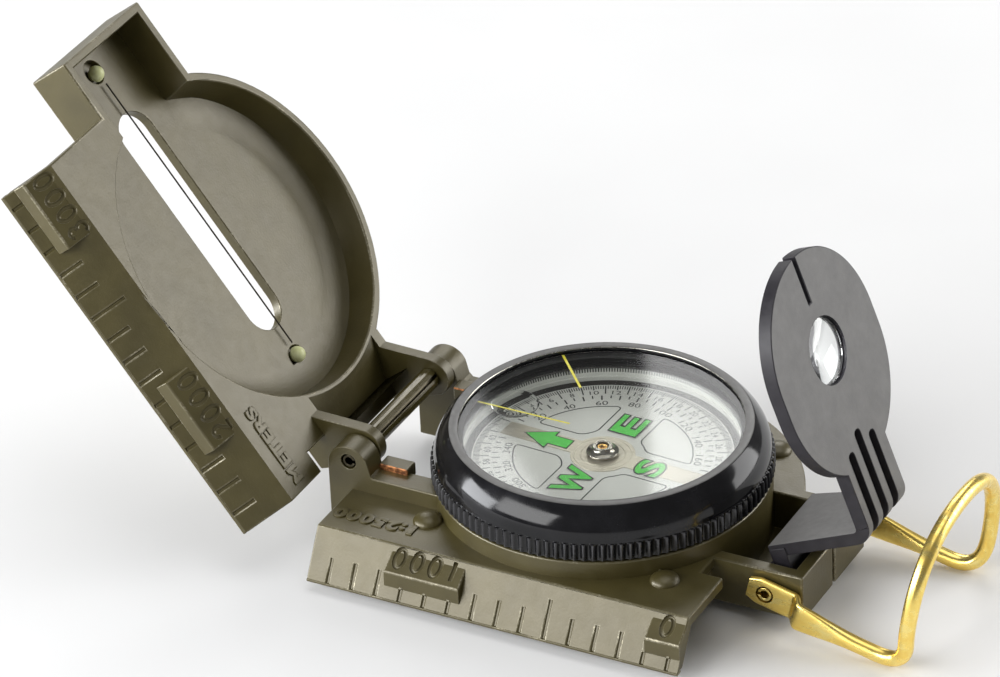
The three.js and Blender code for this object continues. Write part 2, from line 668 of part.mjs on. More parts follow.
function coverDishHollow() {
  const top = COVER_RIM_R - COVER_RIM_WALL;
  const hollow = turned([
    [0, COVER_FLOOR], [top - COVER_RIM_DRAFT, COVER_FLOOR], [top, PLATE_TOP],
    [top, PLATE_TOP + PAST], [0, PLATE_TOP + PAST],
  ]);
  return hollow.translate([DISH_X, 0, 0]);
}

function sightSlot() {
  const radius = SLOT_WIDTH / 2;
  const reach = SLOT_LENGTH / 2 - radius;
  const shape = new THREE.Shape();
  shape.absarc(DISH_X + SLOT_OFFSET + reach, 0, radius, -Math.PI / 2, Math.PI / 2, false);
  shape.absarc(DISH_X + SLOT_OFFSET - reach, 0, radius, Math.PI / 2, 1.5 * Math.PI, false);
  return standing(shape, -PAST, COVER_FLOOR + PAST, FINE / 2);
}

function coverCase() {
  const body = join([
    drum(COVER_RIM_R, 0, PLATE_TOP).translate([DISH_X, 0, 0]),
    coverPlate(),
    rulerSkirt(COVER_FOLD, COVER_EDGE_Z, COVER_LEFT, COVER_RIGHT),
    ...COVER_PADS.map(([from, to]) => numberPad(COVER_FOLD, COVER_EDGE_Z, from, to)),
    ...rulerTicks(COVER_FOLD, COVER_EDGE_Z, COVER_MARKS),
    coverTab(),
    coverWeb(),
    coverArm(-1),
    coverArm(1),
  ]);
  const tabInner = POCKET_HALF - TAB_WALL;
  const tabHollow = block(TAB_END + TAB_WALL, DISH_X, -tabInner, tabInner, COVER_FLOOR, PLATE_TOP + PAST);
  const dotHole = drum(DOT_HOLE_R, COVER_FLOOR - DOT_HOLE_DEPTH, COVER_FLOOR + PAST, FINE);
  return cut(body, [
    coverDishHollow(),
    tabHollow,
    sightSlot(),
    dotHole.translate([DOT_HOLE_UPPER_X, 0, 0]),
    dotHole.translate([DOT_HOLE_LOWER_X, 0, 0]),
    pinBore(HINGE_X, HINGE_Z, ARM_BORE, ARM_OUTER + PAST),
  ]);
}

function sightDot() {
  const bottom = COVER_FLOOR - DOT_HOLE_DEPTH + RUN;
  return turned([
    [0, bottom], [DOT_FOOT_R, bottom], [DOT_R, COVER_FLOOR], [DOT_R, WIRE_LEVEL],
    [DOT_CROWN_R, DOT_RISE - RUN], [0, DOT_RISE],
  ], FINE / 2);
}

// Lens bracket: drawn square, with its pin at the origin, its arm level and its plate upright
function bracketPlateOutline() {
  const shape = new THREE.Shape();
  const shoulder = Math.asin(LENS_NECK_HALF / LENS_DISC_R);
  shape.moveTo(-LENS_NECK_HALF, LENS_ARM_UNDER);
  shape.lineTo(LENS_NECK_HALF, LENS_ARM_UNDER);
  shape.absarc(0, LENS_CENTRE, LENS_DISC_R, shoulder - Math.PI / 2, 1.5 * Math.PI - shoulder, false);
  return shape;
}

function bracketSideOutline() {
  const shape = new THREE.Shape();
  const bend = LENS_BEND_R;
  const top = LENS_CENTRE + LENS_DISC_R + PAST;
  shape.moveTo(LENS_WEB_START, LENS_ARM_UNDER);
  shape.lineTo(LENS_OUTER_FACE - bend, LENS_ARM_UNDER);
  shape.absarc(LENS_OUTER_FACE - bend, LENS_ARM_UNDER + bend, bend, -Math.PI / 2, 0, false);
  shape.lineTo(LENS_OUTER_FACE, top);
  shape.lineTo(LENS_INNER_FACE, top);
  shape.lineTo(LENS_INNER_FACE, LENS_ARM_TOP);
  shape.lineTo(LENS_WEB_START, LENS_ARM_TOP);
  return shape;
}

function bracketGrip(index) {
  const y = (index - 1) * GRIP_PITCH;
  const top = LENS_CENTRE - GRIP_BELOW_LENS[index];
  const radius = GRIP_WIDTH / 2;
  const shape = new THREE.Shape();
  shape.moveTo(y - radius, -LENS_BARREL_R);
  shape.lineTo(y + radius, -LENS_BARREL_R);
  shape.absarc(y, top, radius, 0, Math.PI, false);
  return along(shape, LENS_OUTER_FACE - GRIP_DEPTH, LENS_OUTER_FACE + PAST, FINE / 4);
}

function lensBracket() {
  const armOutline = outline([
    [LENS_WEB_START, -LENS_KNUCKLE_HALF], [LENS_INNER_FACE, -LENS_NECK_HALF],
    [LENS_OUTER_FACE, -LENS_NECK_HALF], [LENS_OUTER_FACE, LENS_NECK_HALF],
    [LENS_INNER_FACE, LENS_NECK_HALF], [LENS_WEB_START, LENS_KNUCKLE_HALF],
  ]);
  const plate = along(bracketPlateOutline(), LENS_INNER_FACE, LENS_OUTER_FACE, SMOOTH / 2);
  const arm = standing(armOutline, LENS_ARM_UNDER, LENS_ARM_TOP);
  const bent = across(bracketSideOutline(), -LENS_DISC_R - PAST, LENS_DISC_R + PAST, FINE / 4);
  const webEnd = LENS_WEB_START + LENS_WEB_THICK;
  const half = LENS_KNUCKLE_HALF;
  const body = join([
    arm.add(plate).intersect(bent),
    block(LENS_WEB_START, webEnd, -half, half, 0, LENS_ARM_TOP - LENS_SHEET / 2),
    pinBore(0, 0, LENS_BARREL_R, half),
  ]);
  const slotFoot = LENS_CENTRE + LENS_DISC_R - SIGHT_SLOT_DEPTH;
  const slotHalf = SIGHT_SLOT_WIDTH / 2;
  const slotTop = LENS_CENTRE + LENS_DISC_R + PAST;
  const lensRound = disc(0, LENS_CENTRE, LENS_HOLE_R);
  const seatRound = disc(0, LENS_CENTRE, LENS_HOLE_R - LENS_RING_WIDTH);
  const seatX = LENS_INNER_FACE + LENS_SEAT_LIP;
  return cut(body, [
    along(lensRound, seatX, LENS_OUTER_FACE + PAST, FINE / 2),
    along(seatRound, LENS_INNER_FACE - PAST, LENS_OUTER_FACE, FINE / 2),
    block(LENS_INNER_FACE - PAST, LENS_OUTER_FACE + PAST, -slotHalf, slotHalf, slotFoot, slotTop),
    pinBore(0, 0, BRACKET_PIN_R + RUN, half + PAST),
    ...[0, 1, 2].map(bracketGrip),
  ]);
}

// A profile about the lens axis, which runs along X through the centre of the plate
function aboutLensAxis(profile, start) {
  return turned(profile, FINE).rotate([0, 90, 0]).translate([start, 0, LENS_CENTRE]);
}

function magnifierLens() {
  const radius = LENS_HOLE_R - SEAT;
  const profile = [[0, -LENS_CROWN]];
  const steps = 4;
  for (let i = 1; i <= steps; i += 1) {
    profile.push([radius * i / steps, -LENS_CROWN * (1 - (i / steps) ** 2)]);
  }
  for (let i = steps; i >= 1; i -= 1) {
    profile.push([radius * i / steps, LENS_EDGE + LENS_CROWN * (1 - (i / steps) ** 2)]);
  }
  profile.push([0, LENS_EDGE + LENS_CROWN]);
  return aboutLensAxis(profile, LENS_INNER_FACE + LENS_SEAT_LIP + RUN);
}

function lensRetainer() {
  const outer = LENS_HOLE_R - SEAT;
  const inner = outer - LENS_RING_WIDTH;
  const high = LENS_RING_THICK;
  const profile = [[inner, 0], [outer, 0], [outer, high], [inner, high], [inner, 0]];
  return aboutLensAxis(profile, LENS_INNER_FACE + LENS_SEAT_LIP + LENS_EDGE + 2 * RUN);
}

// Thumb loop: one bent brass wire with flattened ends, drawn with its arms level from the pin
function loopRoute() {
  const rise = radians(LOOP_RISE_ANGLE);
  const place = (s, y) => new THREE.Vector3(LOOP_ARM + s * Math.cos(rise), y, s * Math.sin(rise));
  const flat = (x, y) => new THREE.Vector3(x, y, 0);
  const leg = (s) => place(s, -LOOP_HALF - s * Math.tan(radians(LOOP_SPREAD)));
  const crown = (y) => place(LOOP_CROWN, y);
  const kinkEnd = LOOP_KINK + LOOP_KINK_LENGTH;
  const kinkHalf = LOOP_KINK + LOOP_KINK_LENGTH / 2;
  const armEnd = LOOP_ARM - LOOP_ELBOW;
  const [strapY, armY] = [-STRAP_MIDDLE, -LOOP_HALF];
  const strap = new THREE.LineCurve3(flat(-LOOP_BACK, strapY), flat(LOOP_KINK, strapY));
  const kink = new THREE.CubicBezierCurve3(
    flat(LOOP_KINK, strapY), flat(kinkHalf, strapY), flat(kinkHalf, armY), flat(kinkEnd, armY));
  const arm = new THREE.LineCurve3(flat(kinkEnd, armY), flat(armEnd, armY));
  const elbow = new THREE.QuadraticBezierCurve3(flat(armEnd, armY), flat(LOOP_ARM, armY), leg(LOOP_ELBOW));
  const arch = new THREE.CubicBezierCurve3(
    leg(LOOP_ELBOW), leg(LOOP_ELBOW + LOOP_LEG_PULL), crown(-LOOP_CROWN_PULL), crown(0));
  const points = [strap.getPoint(0)];
  for (const [curve, steps] of [[strap, 3], [kink, 5], [arm, 5], [elbow, 5], [arch, 11]]) {
    for (let i = 1; i <= steps; i += 1) points.push(curve.getPoint(i / steps));
  }
  const far = points.slice(0, -1).reverse().map((p) => new THREE.Vector3(p.x, -p.y, p.z));
  return points.concat(far);
}

// Half height and half thickness of the loop at a distance from its nearer end
function loopSection(distance) {
  const round = THREE.MathUtils.smoothstep(distance, STRAP_LENGTH, STRAP_LENGTH + STRAP_TAPER);
  const end = THREE.MathUtils.smoothstep(distance, -STRAP_THICK, STRAP_THICK);
  const strap = THREE.MathUtils.lerp(STRAP_END_HEIGHT, STRAP_HEIGHT, end) / 2;
  const height = THREE.MathUtils.lerp(strap, LOOP_WIRE_R, round);
  return [height, THREE.MathUtils.lerp(STRAP_THICK / 2, LOOP_WIRE_R, round)];
}

// A tube along the route whose section changes; its ends are closed
function thumbLoopGeometry() {
  const sides = 10;
  const route = loopRoute();
  const lengths = [0];
  for (let i = 1; i < route.length; i += 1) {
    lengths.push(lengths[i - 1] + route[i].distanceTo(route[i - 1]));
  }
  const total = lengths.at(-1);
  const positions = [];
  const normal = Z_AXIS.clone();
  route.forEach((point, i) => {
    const before = route[Math.max(i - 1, 0)];
    const after = route[Math.min(i + 1, route.length - 1)];
    const tangent = after.clone().sub(before).normalize();
    normal.addScaledVector(tangent, -normal.dot(tangent)).normalize();
    const side = tangent.clone().cross(normal);
    const [height, thick] = loopSection(Math.min(lengths[i], total - lengths[i]));
    for (let k = 0; k < sides; k += 1) {
      const angle = 2 * Math.PI * (k + 0.5) / sides;
      const spot = point.clone();
      spot.addScaledVector(normal, height * Math.cos(angle)).addScaledVector(side, thick * Math.sin(angle));
      positions.push(spot.x, spot.y, spot.z);
    }
  });
  const index = [];
  for (let i = 0; i + 1 < route.length; i += 1) {
    for (let k = 0; k < sides; k += 1) {
      const [a, b] = [i * sides + k, i * sides + (k + 1) % sides];
      index.push(a, b, a + sides, b, b + sides, a + sides);
    }
  }
  const last = (route.length - 1) * sides;
  for (let k = 1; k + 1 < sides; k += 1) {
    index.push(0, k + 1, k);
    index.push(last, last + k, last + k + 1);
  }
  const geometry = new THREE.BufferGeometry();
  geometry.setAttribute('position', new THREE.Float32BufferAttribute(positions, 3));
  geometry.setIndex(index);
  return geometry;
}

function thumbLoop() {
  return cut(solid(thumbLoopGeometry()), [pinBore(0, 0, BRACKET_PIN_R + RUN, LOOP_HALF)]);
}

// Groups: each moving body is drawn in its own place and turned about its pin
const compass = new THREE.Group();
compass.position.z = FOOT_RISE;

const cover = new THREE.Group();
cover.position.set(HINGE_X, 0, HINGE_Z);
cover.rotation.y = radians(COVER_RAISED);
const coverFlat = new THREE.Group();
coverFlat.position.set(-HINGE_X, 0, -HINGE_Z);
cover.add(coverFlat);

const lens = new THREE.Group();
lens.position.set(PIVOT_X, 0, PIVOT_Z);
lens.rotation.y = radians(-LENS_LEAN);

const loop = new THREE.Group();
loop.position.set(PIVOT_X, 0, PIVOT_Z);
loop.rotation.y = radians(LOOP_DROP);

const dial = new THREE.Group();
dial.rotation.z = Math.PI;
compass.add(cover, lens, loop, dial);

piece(compass, 'base_case', baseCase(), OLIVE);
const hingePinInner = HINGE_PIN_R - SPRING_PIN_WALL;
const hingePin = slottedTube(
  HINGE_X, HINGE_Z, hingePinInner, HINGE_PIN_R, SPRING_PIN_SLIT, 0, EAR_OUTER - SEAT);
piece(compass, 'hinge_pin', hingePin, STEEL);
const bracketPinInner = BRACKET_PIN_R - SPRING_PIN_WALL;
const bracketPinHalf = STRAP_FACE + STRAP_THICK;
const bracketPin = slottedTube(
  PIVOT_X, PIVOT_Z, bracketPinInner, BRACKET_PIN_R, SPRING_PIN_SLIT, Math.PI, bracketPinHalf);
piece(compass, 'bracket_pin', bracketPin, STEEL);
const snapHalf = SNAP_RING_THICK / 2;
const snapOuter = SNAP_RING_R + SNAP_RING_WIDTH;
const snapRing = ring(SNAP_RING_R, snapOuter, SNAP_LEVEL - snapHalf, SNAP_LEVEL + snapHalf);
piece(compass, 'bezel_snap_ring', snapRing, STEEL);

piece(compass, 'capsule_cushion', drum(CAPSULE_BORE, BOWL_FLOOR, CAPSULE_BOTTOM), FOAM);
piece(compass, 'capsule_pan', capsulePan(), CARD_WHITE);
const plug = drum(PLUG_R, CAPSULE_BOTTOM, CAPSULE_INSIDE + SEAT, FINE);
piece(compass, 'fill_plug', plug.translate([PLUG_FROM_AXIS, 0, 0]), RUBBER);
piece(compass, 'capsule_gasket', ring(CAPSULE_BORE, CAPSULE_R, CAPSULE_TOP, CRYSTAL_BOTTOM), RUBBER);
piece(compass, 'capsule_crystal', drum(CAPSULE_R, CRYSTAL_BOTTOM, CRYSTAL_TOP), CLEAR_GLASS);
piece(compass, 'pivot_post', pivotPost(), STEEL);

piece(compass, 'bezel_ring', bezelRing(), BLACK_GLOSS);
piece(compass, 'bezel_glass', drum(GLASS_R, GLASS_BOTTOM, GLASS_TOP), CLEAR_GLASS);
const glassRing = ring(GLASS_R - GLASS_RING_WIDTH, GLASS_R, GLASS_BOTTOM - GLASS_RING_THICK, GLASS_BOTTOM);
piece(compass, 'bezel_glass_ring', glassRing, BLACK_GLOSS);

piece(dial, 'dial_card', dialCard(), CARD_WHITE);
piece(dial, 'dial_needle', dialNeedle(), NEEDLE_METAL);
piece(dial, 'dial_hub', dialHub(), STEEL);
piece(dial, 'jewel_bearing', jewelBearing(), BRASS);

piece(coverFlat, 'cover_case', coverCase(), OLIVE);
const sleeveInner = HINGE_PIN_R + SEAT;
const sleeve = slottedTube(
  HINGE_X, HINGE_Z, sleeveInner, sleeveInner + SLEEVE_WALL, SLEEVE_SLIT, Math.PI / 2, ARM_INNER - SEAT);
piece(coverFlat, 'hinge_sleeve', sleeve, OLIVE);
const dotUpperX = DOT_HOLE_UPPER_X + DOT_LEAN;
const dotLowerX = DOT_HOLE_LOWER_X - DOT_LEAN;
piece(coverFlat, 'sight_dot_upper', sightDot().translate([dotUpperX, 0, 0]), LUMINOUS);
piece(coverFlat, 'sight_dot_lower', sightDot().translate([dotLowerX, 0, 0]), LUMINOUS);
const wireStart = dotUpperX + DOT_R + RUN;
const wireEnd = dotLowerX - DOT_R - RUN;
piece(coverFlat, 'sight_wire', along(disc(0, WIRE_LEVEL, WIRE_R), wireStart, wireEnd, FINE / 4), STEEL);

piece(lens, 'lens_bracket', lensBracket(), BRACKET_GREY);
piece(lens, 'magnifier_lens', magnifierLens(), CLEAR_GLASS);
piece(lens, 'lens_retainer', lensRetainer(), BRACKET_GREY);

piece(loop, 'thumb_loop', thumbLoop(), BRASS);

export default compass;
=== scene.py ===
"""A folding lensatic compass, dressed for a studio picture.

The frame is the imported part's own: metres, +Z up, the dial axis through the origin, the cover hinge at
-X, the lens bracket at +X and the ruler edge on -Y. Drawn sizes are in millimetres, with heights from
the lower edge of the base's skirt, which stands FOOT_RISE above the table.
"""
import math

import bmesh
import bpy
from mathutils import Matrix, Quaternion, Vector


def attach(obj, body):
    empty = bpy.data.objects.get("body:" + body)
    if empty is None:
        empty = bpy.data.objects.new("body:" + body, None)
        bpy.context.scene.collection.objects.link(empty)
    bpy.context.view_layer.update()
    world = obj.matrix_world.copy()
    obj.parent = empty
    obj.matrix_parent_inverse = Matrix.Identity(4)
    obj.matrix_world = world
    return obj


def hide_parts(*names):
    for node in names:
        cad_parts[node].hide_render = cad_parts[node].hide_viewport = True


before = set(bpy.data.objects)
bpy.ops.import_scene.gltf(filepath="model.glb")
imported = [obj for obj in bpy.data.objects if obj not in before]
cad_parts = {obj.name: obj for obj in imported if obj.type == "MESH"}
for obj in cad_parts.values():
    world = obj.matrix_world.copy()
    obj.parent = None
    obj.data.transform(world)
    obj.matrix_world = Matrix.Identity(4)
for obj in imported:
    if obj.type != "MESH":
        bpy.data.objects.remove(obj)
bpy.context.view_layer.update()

MM = 0.001
FOOT_RISE = 1.75

# Hinges and the angles at which the moving bodies rest
HINGE = Vector((-34.56, 0, 12.21))
PIVOT = Vector((32.2, 0, 4.0))
COVER_RAISED = 52.46
LENS_LEAN = -20.65
LOOP_DROP = 13.2
CARD_TURN = -3.0

# How corners are found, rounded and shaded
SHARP = math.radians(28)
CREASE = math.radians(14)
ROUND_SHARP = math.radians(50)
FLAT = math.radians(0.4)
WELD = 0.02 * MM
CASTING_BEVEL = 0.28
BRACKET_BEVEL = 0.16
TUBE_BEVEL = 0.08
BEVEL_SHARE = 0.42  # of the shortest edge at a corner
NEAR = 0.05  # millimetres within which a point counts as on a circle or a level


# Places and turns

def drawn(turn=Matrix.Identity(4)):
    """The matrix from drawn millimetres to the frame's metres, after an own turn if one is given."""
    return Matrix.Scale(MM, 4) @ Matrix.Translation((0, 0, FOOT_RISE)) @ turn


def about(point, degrees):
    """A turn about a line along Y through a point."""
    return Matrix.Translation(point) @ Matrix.Rotation(math.radians(degrees), 4, "Y")


BASE = drawn()
DIAL = drawn(Matrix.Rotation(math.radians(CARD_TURN), 4, "Z"))
COVER = drawn(about(HINGE, COVER_RAISED) @ Matrix.Translation(-HINGE))
LENS = drawn(about(PIVOT, LENS_LEAN))
LOOP = drawn(about(PIVOT, LOOP_DROP))
LAID_ALONG_X = Matrix.Rotation(math.pi / 2, 4, "Y")
LAID_ALONG_Y = Matrix.Rotation(math.pi / 2, 4, "X")


def axes(origin, across, up):
    """A matrix for lettering: its line runs along across and its letters stand along up."""
    across = Vector(across).normalized()
    up = Vector(up).normalized()
    made = Matrix((across, up, across.cross(up))).transposed().to_4x4()
    made.translation = Vector(origin)
    return made


def polar(radius, angle, level=0.0):
    """A point at a radius and an angle about Z."""
    return Vector((radius * math.cos(angle), radius * math.sin(angle), level))


def arc(radius, first, last, steps, level=0.0):
    return [polar(radius, first + (last - first) * k / steps, level) for k in range(steps + 1)]


def curve_point(handles, t):
    """A point on a Bezier curve of any degree."""
    while len(handles) > 1:
        handles = [a.lerp(b, t) for a, b in zip(handles, handles[1:])]
    return handles[0]


def smooth_step(value, low, high):
    """A share from 0 to 1 that starts and ends gently between two values."""
    t = min(max((value - low) / (high - low), 0.0), 1.0)
    return t * t * (3 - 2 * t)


# Materials

SHADER_INPUTS = {
    "colour": "Base Color", "rough": "Roughness", "metal": "Metallic", "shine": "Specular IOR Level",
    "sheen": "Specular Tint", "ior": "IOR", "clear": "Transmission Weight",
}


class Surface:
    """A material being made: its nodes and its main shader."""

    def __init__(self, name):
        self.material = bpy.data.materials.new(name)
        self.material.use_nodes = True
        self.tree = self.material.node_tree
        self.shader = self.tree.nodes["Principled BSDF"]

    def give(self, socket, value):
        """Feeds a socket from another socket, or with a number, a list or a colour of three."""
        if isinstance(value, bpy.types.NodeSocket):
            self.tree.links.new(value, socket)
        elif isinstance(value, tuple):
            socket.default_value = (*value, 1)
        else:
            socket.default_value = value

    def node(self, kind, **inputs):
        made = self.tree.nodes.new("ShaderNode" + kind)
        for name, value in inputs.items():
            self.give(made.inputs[name], value)
        return made

    def noise(self, per_mm, detail=3.0, stretch=(1, 1, 1), rough=0.5):
        """A noise fixed to the piece, with about per_mm waves in each millimetre."""
        place = self.node("TexCoord").outputs["Object"]
        scaled = self.node("Mapping", Vector=place, Scale=[s * per_mm / MM for s in stretch])
        place = scaled.outputs["Vector"]
        return self.node("TexNoise", Vector=place, Scale=1.0, Detail=detail, Roughness=rough).outputs["Fac"]

    def ramp(self, value, *shades, at=(0.3, 0.7)):
        """Colours or greys laid along a value, each at its place."""
        made = self.node("ValToRGB", Fac=value)
        stops = made.color_ramp.elements
        while len(stops) < len(shades):
            stops.new(0.5)
        for stop, place, shade in zip(stops, at, shades):
            stop.position = place
            stop.color = (shade, shade, shade, 1) if isinstance(shade, float) else (*shade, 1)
        return made.outputs["Color"]

    def blend(self, share, first, second):
        """Two colours mixed by a share."""
        made = self.node("Mix")
        made.data_type = "RGBA"
        self.give(made.inputs["Factor"], share)
        self.give(made.inputs[6], first)
        self.give(made.inputs[7], second)
        return made.outputs[2]

    def maths(self, operation, first, second):
        made = self.node("Math")
        made.operation = operation
        self.give(made.inputs[0], first)
        self.give(made.inputs[1], second)
        return made.outputs[0]

    def bump(self, height, strength, depth):
        made = self.node("Bump", Strength=strength, Distance=depth * MM, Height=height)
        self.give(self.shader.inputs["Normal"], made.outputs["Normal"])

    def dress(self, **values):
        """Feeds the main shader and hands over the material."""
        for word, value in values.items():
            self.give(self.shader.inputs[SHADER_INPUTS[word]], value)
        return self.material

    def either(self, share, first, second):
        """Shows the first shader, and by its share the second, and hands over the material."""
        made = self.node("MixShader")
        for socket, value in zip(made.inputs, (share, first.outputs["BSDF"], second.outputs["BSDF"])):
            self.give(socket, value)
        self.give(self.tree.nodes["Material Output"].inputs["Surface"], made.outputs["Shader"])
        return self.material


OLIVE_DARK = (0.045, 0.0365, 0.0095)
OLIVE = (0.066, 0.054, 0.0155)
OLIVE_PALE = (0.1, 0.088, 0.045)
OLIVE_SHEEN = (1.0, 0.94, 0.79)
BARE_METAL = (0.3, 0.275, 0.2)
JET = (0.005, 0.005, 0.006)


def olive_colour(s):
    """The paint's own colour: nearly even, with fine grain and a few pale rubbed spots."""
    cloud = s.ramp(s.noise(0.15), OLIVE_DARK, OLIVE)
    rubbed = s.ramp(s.noise(1.6, 4.0, rough=0.7), 0.0, 0.6, at=(0.66, 0.8))
    return s.blend(rubbed, cloud, OLIVE_PALE)


def olive_paint():
    s = Surface("olive_paint")
    s.bump(s.noise(2.6), 0.45, 0.05)
    gloss = s.ramp(s.noise(0.6, 4.0), 0.36, 0.41)
    return s.dress(colour=olive_colour(s), rough=gloss, shine=0.85, sheen=OLIVE_SHEEN)


def sleeve_paint():
    """The rolled sleeve has the same paint, polished by use."""
    s = Surface("olive_sleeve")
    s.bump(s.noise(1.8), 0.2, 0.04)
    gloss = s.ramp(s.noise(0.8, 4.0), 0.17, 0.27)
    return s.dress(colour=olive_colour(s), rough=gloss, shine=0.9, sheen=OLIVE_SHEEN)


def worn_edge():
    """The paint along an edge, rubbed through to pale metal in places."""
    s = Surface("olive_worn_edge")
    grain = s.noise(2.6, 4.0, rough=0.7)
    wear = s.maths("MULTIPLY", s.noise(0.22, 2.0), grain)
    s.bump(grain, 0.2, 0.03)
    bare = s.ramp(wear, 0.1, 0.85, at=(0.27, 0.38))
    return s.dress(
        colour=s.blend(bare, olive_colour(s), BARE_METAL),
        metal=s.ramp(wear, 0.0, 0.45, at=(0.3, 0.4)),
        rough=s.ramp(wear, 0.34, 0.28, at=(0.25, 0.31)),
        shine=0.85,
        sheen=OLIVE_SHEEN,
    )


def copper_wear():
    """Where a stop has been rubbed down to its copper plating."""
    s = Surface("copper_wear")
    shade = s.ramp(s.noise(1.6, 5.0), (0.16, 0.06, 0.025), (0.62, 0.26, 0.1), at=(0.38, 0.62))
    return s.dress(colour=shade, metal=0.55, rough=s.ramp(s.noise(2.5), 0.3, 0.5))


def black_gloss():
    s = Surface("bezel_black_gloss")
    s.bump(s.noise(0.5, 2.0), 0.05, 0.05)
    smudge = s.noise(0.18, 4.0, rough=0.6)
    shade = s.ramp(smudge, JET, (0.011, 0.011, 0.013), at=(0.35, 0.7))
    return s.dress(colour=shade, rough=s.ramp(smudge, 0.07, 0.17, at=(0.35, 0.7)), shine=0.34)


def black_knurl():
    """The knurl, paler along its crests: partly wear, and partly a painted highlight for the light the crests
    catch.
    """
    s = Surface("bezel_black_knurl")
    crest_wear_and_highlight = s.ramp(s.node("NewGeometry").outputs["Pointiness"], 0.0, 0.8, at=(0.52, 0.58))
    return s.dress(colour=s.blend(crest_wear_and_highlight, JET, (0.05, 0.05, 0.054)), rough=s.ramp(s.noise(1.2), 0.14, 0.28))


def satin_ring():
    s = Surface("bezel_satin_ring")
    s.bump(s.noise(3.0), 0.12, 0.03)
    shade = s.ramp(s.noise(0.7, 5.0), (0.07, 0.0685, 0.065), (0.1, 0.098, 0.094))
    return s.dress(colour=shade, rough=s.ramp(s.noise(1.5), 0.3, 0.42))


def bracket_plastic():
    s = Surface("bracket_plastic")
    s.bump(s.noise(4.5, 2.0), 0.5, 0.04)
    shade = s.ramp(s.noise(0.3, 4.0), (0.118, 0.115, 0.112), (0.145, 0.142, 0.137))
    return s.dress(colour=shade, rough=s.ramp(s.noise(1.0), 0.46, 0.58))


def bracket_edge():
    """The bracket's sawn edges are darker and a little smoother than its faces."""
    s = Surface("bracket_edge")
    s.bump(s.noise(3.5), 0.15, 0.03)
    shade = s.ramp(s.noise(0.5, 4.0), (0.015, 0.0135, 0.017), (0.024, 0.022, 0.027))
    return s.dress(colour=shade, rough=s.ramp(s.noise(1.0), 0.38, 0.5), shine=0.35)


def brass():
    """Bright wire with streaks along it."""
    s = Surface("loop_brass")
    s.bump(s.noise(1.4, 4.0, (0.3, 2.0, 1.0)), 0.12, 0.05)
    streak = s.noise(0.5, 5.0, (0.35, 2.5, 1.0), 0.6)
    shades = ((0.92, 0.64, 0.14), (0.99, 0.76, 0.22), (1.0, 0.86, 0.36))
    shade = s.ramp(streak, *shades, at=(0.3, 0.55, 0.75))
    return s.dress(colour=shade, metal=1.0, rough=s.ramp(streak, 0.36, 0.22))


def needle_metal():
    """A pale pressed strip, half matt, with fine lines along it."""
    s = Surface("needle_metal")
    grain = s.noise(1.5, 4.0, (0.15, 2.0, 1.0))
    shade = s.ramp(grain, (0.5, 0.45, 0.36), (0.62, 0.57, 0.47))
    return s.dress(colour=shade, metal=0.35, rough=s.ramp(grain, 0.3, 0.42))


def metal(name, dark, light, rough):
    s = Surface(name)
    grain = s.noise(1.2, 4.0)
    return s.dress(colour=s.ramp(grain, dark, light), metal=1.0, rough=s.ramp(grain, rough, rough + 0.12))


def plastic(name, dark, light, rough, per_mm):
    s = Surface(name)
    gloss = s.ramp(s.noise(3 * per_mm), rough, rough + 0.1)
    return s.dress(colour=s.ramp(s.noise(per_mm, 4.0), dark, light), rough=gloss)


def clear_glass(name, tint, ior):
    """Glass that lets the lamps' light through to what it covers."""
    s = Surface(name)
    s.dress(colour=tint, rough=0.0, ior=ior, clear=1.0)
    return s.either(s.node("LightPath").outputs["Is Shadow Ray"], s.shader, s.node("BsdfTransparent"))


def flat_glass():
    """A thin clear pane: a plain view through it, and a mirror that grows at shallow angles."""
    s = Surface("clear_glass")
    s.tree.nodes.remove(s.shader)
    front = s.maths("SUBTRACT", 1.0, s.node("NewGeometry").outputs["Backfacing"])
    share = s.maths("MULTIPLY", s.node("Fresnel", IOR=1.45).outputs["Fac"], front)
    view = s.node("BsdfTransparent", Color=(0.985, 0.99, 0.985))
    return s.either(share, view, s.node("BsdfGlossy", Roughness=0.05))


PAINT = olive_paint()
SLEEVE = sleeve_paint()
WORN = worn_edge()
COPPER = copper_wear()
GLOSS = black_gloss()
KNURL = black_knurl()
SATIN = satin_ring()
BRACKET = bracket_plastic()
BRACKET_EDGE = bracket_edge()
BRASS = brass()
NEEDLE = needle_metal()
STEEL = metal("polished_steel", (0.5, 0.47, 0.42), (0.68, 0.65, 0.6), 0.12)
HUB_STEEL = metal("hub_steel", (0.3, 0.275, 0.24), (0.5, 0.47, 0.42), 0.14)
PIN = metal("pin_steel", (0.045, 0.038, 0.024), (0.1, 0.088, 0.06), 0.3)
JEWEL = metal("jewel_brass", (0.5, 0.3, 0.08), (0.72, 0.48, 0.18), 0.18)
# Painted highlight: pale metal on the black bezel's window edge, standing for the glint along the glass's
# edge
LIP_HIGHLIGHT = metal("painted_lip_highlight", (0.5, 0.48, 0.42), (0.66, 0.64, 0.58), 0.2)
WIRE = metal("dark_wire", (0.025, 0.022, 0.016), (0.05, 0.045, 0.034), 0.4)
CARD = plastic("card_white", (0.65, 0.645, 0.61), (0.72, 0.715, 0.68), 0.38, 0.15)
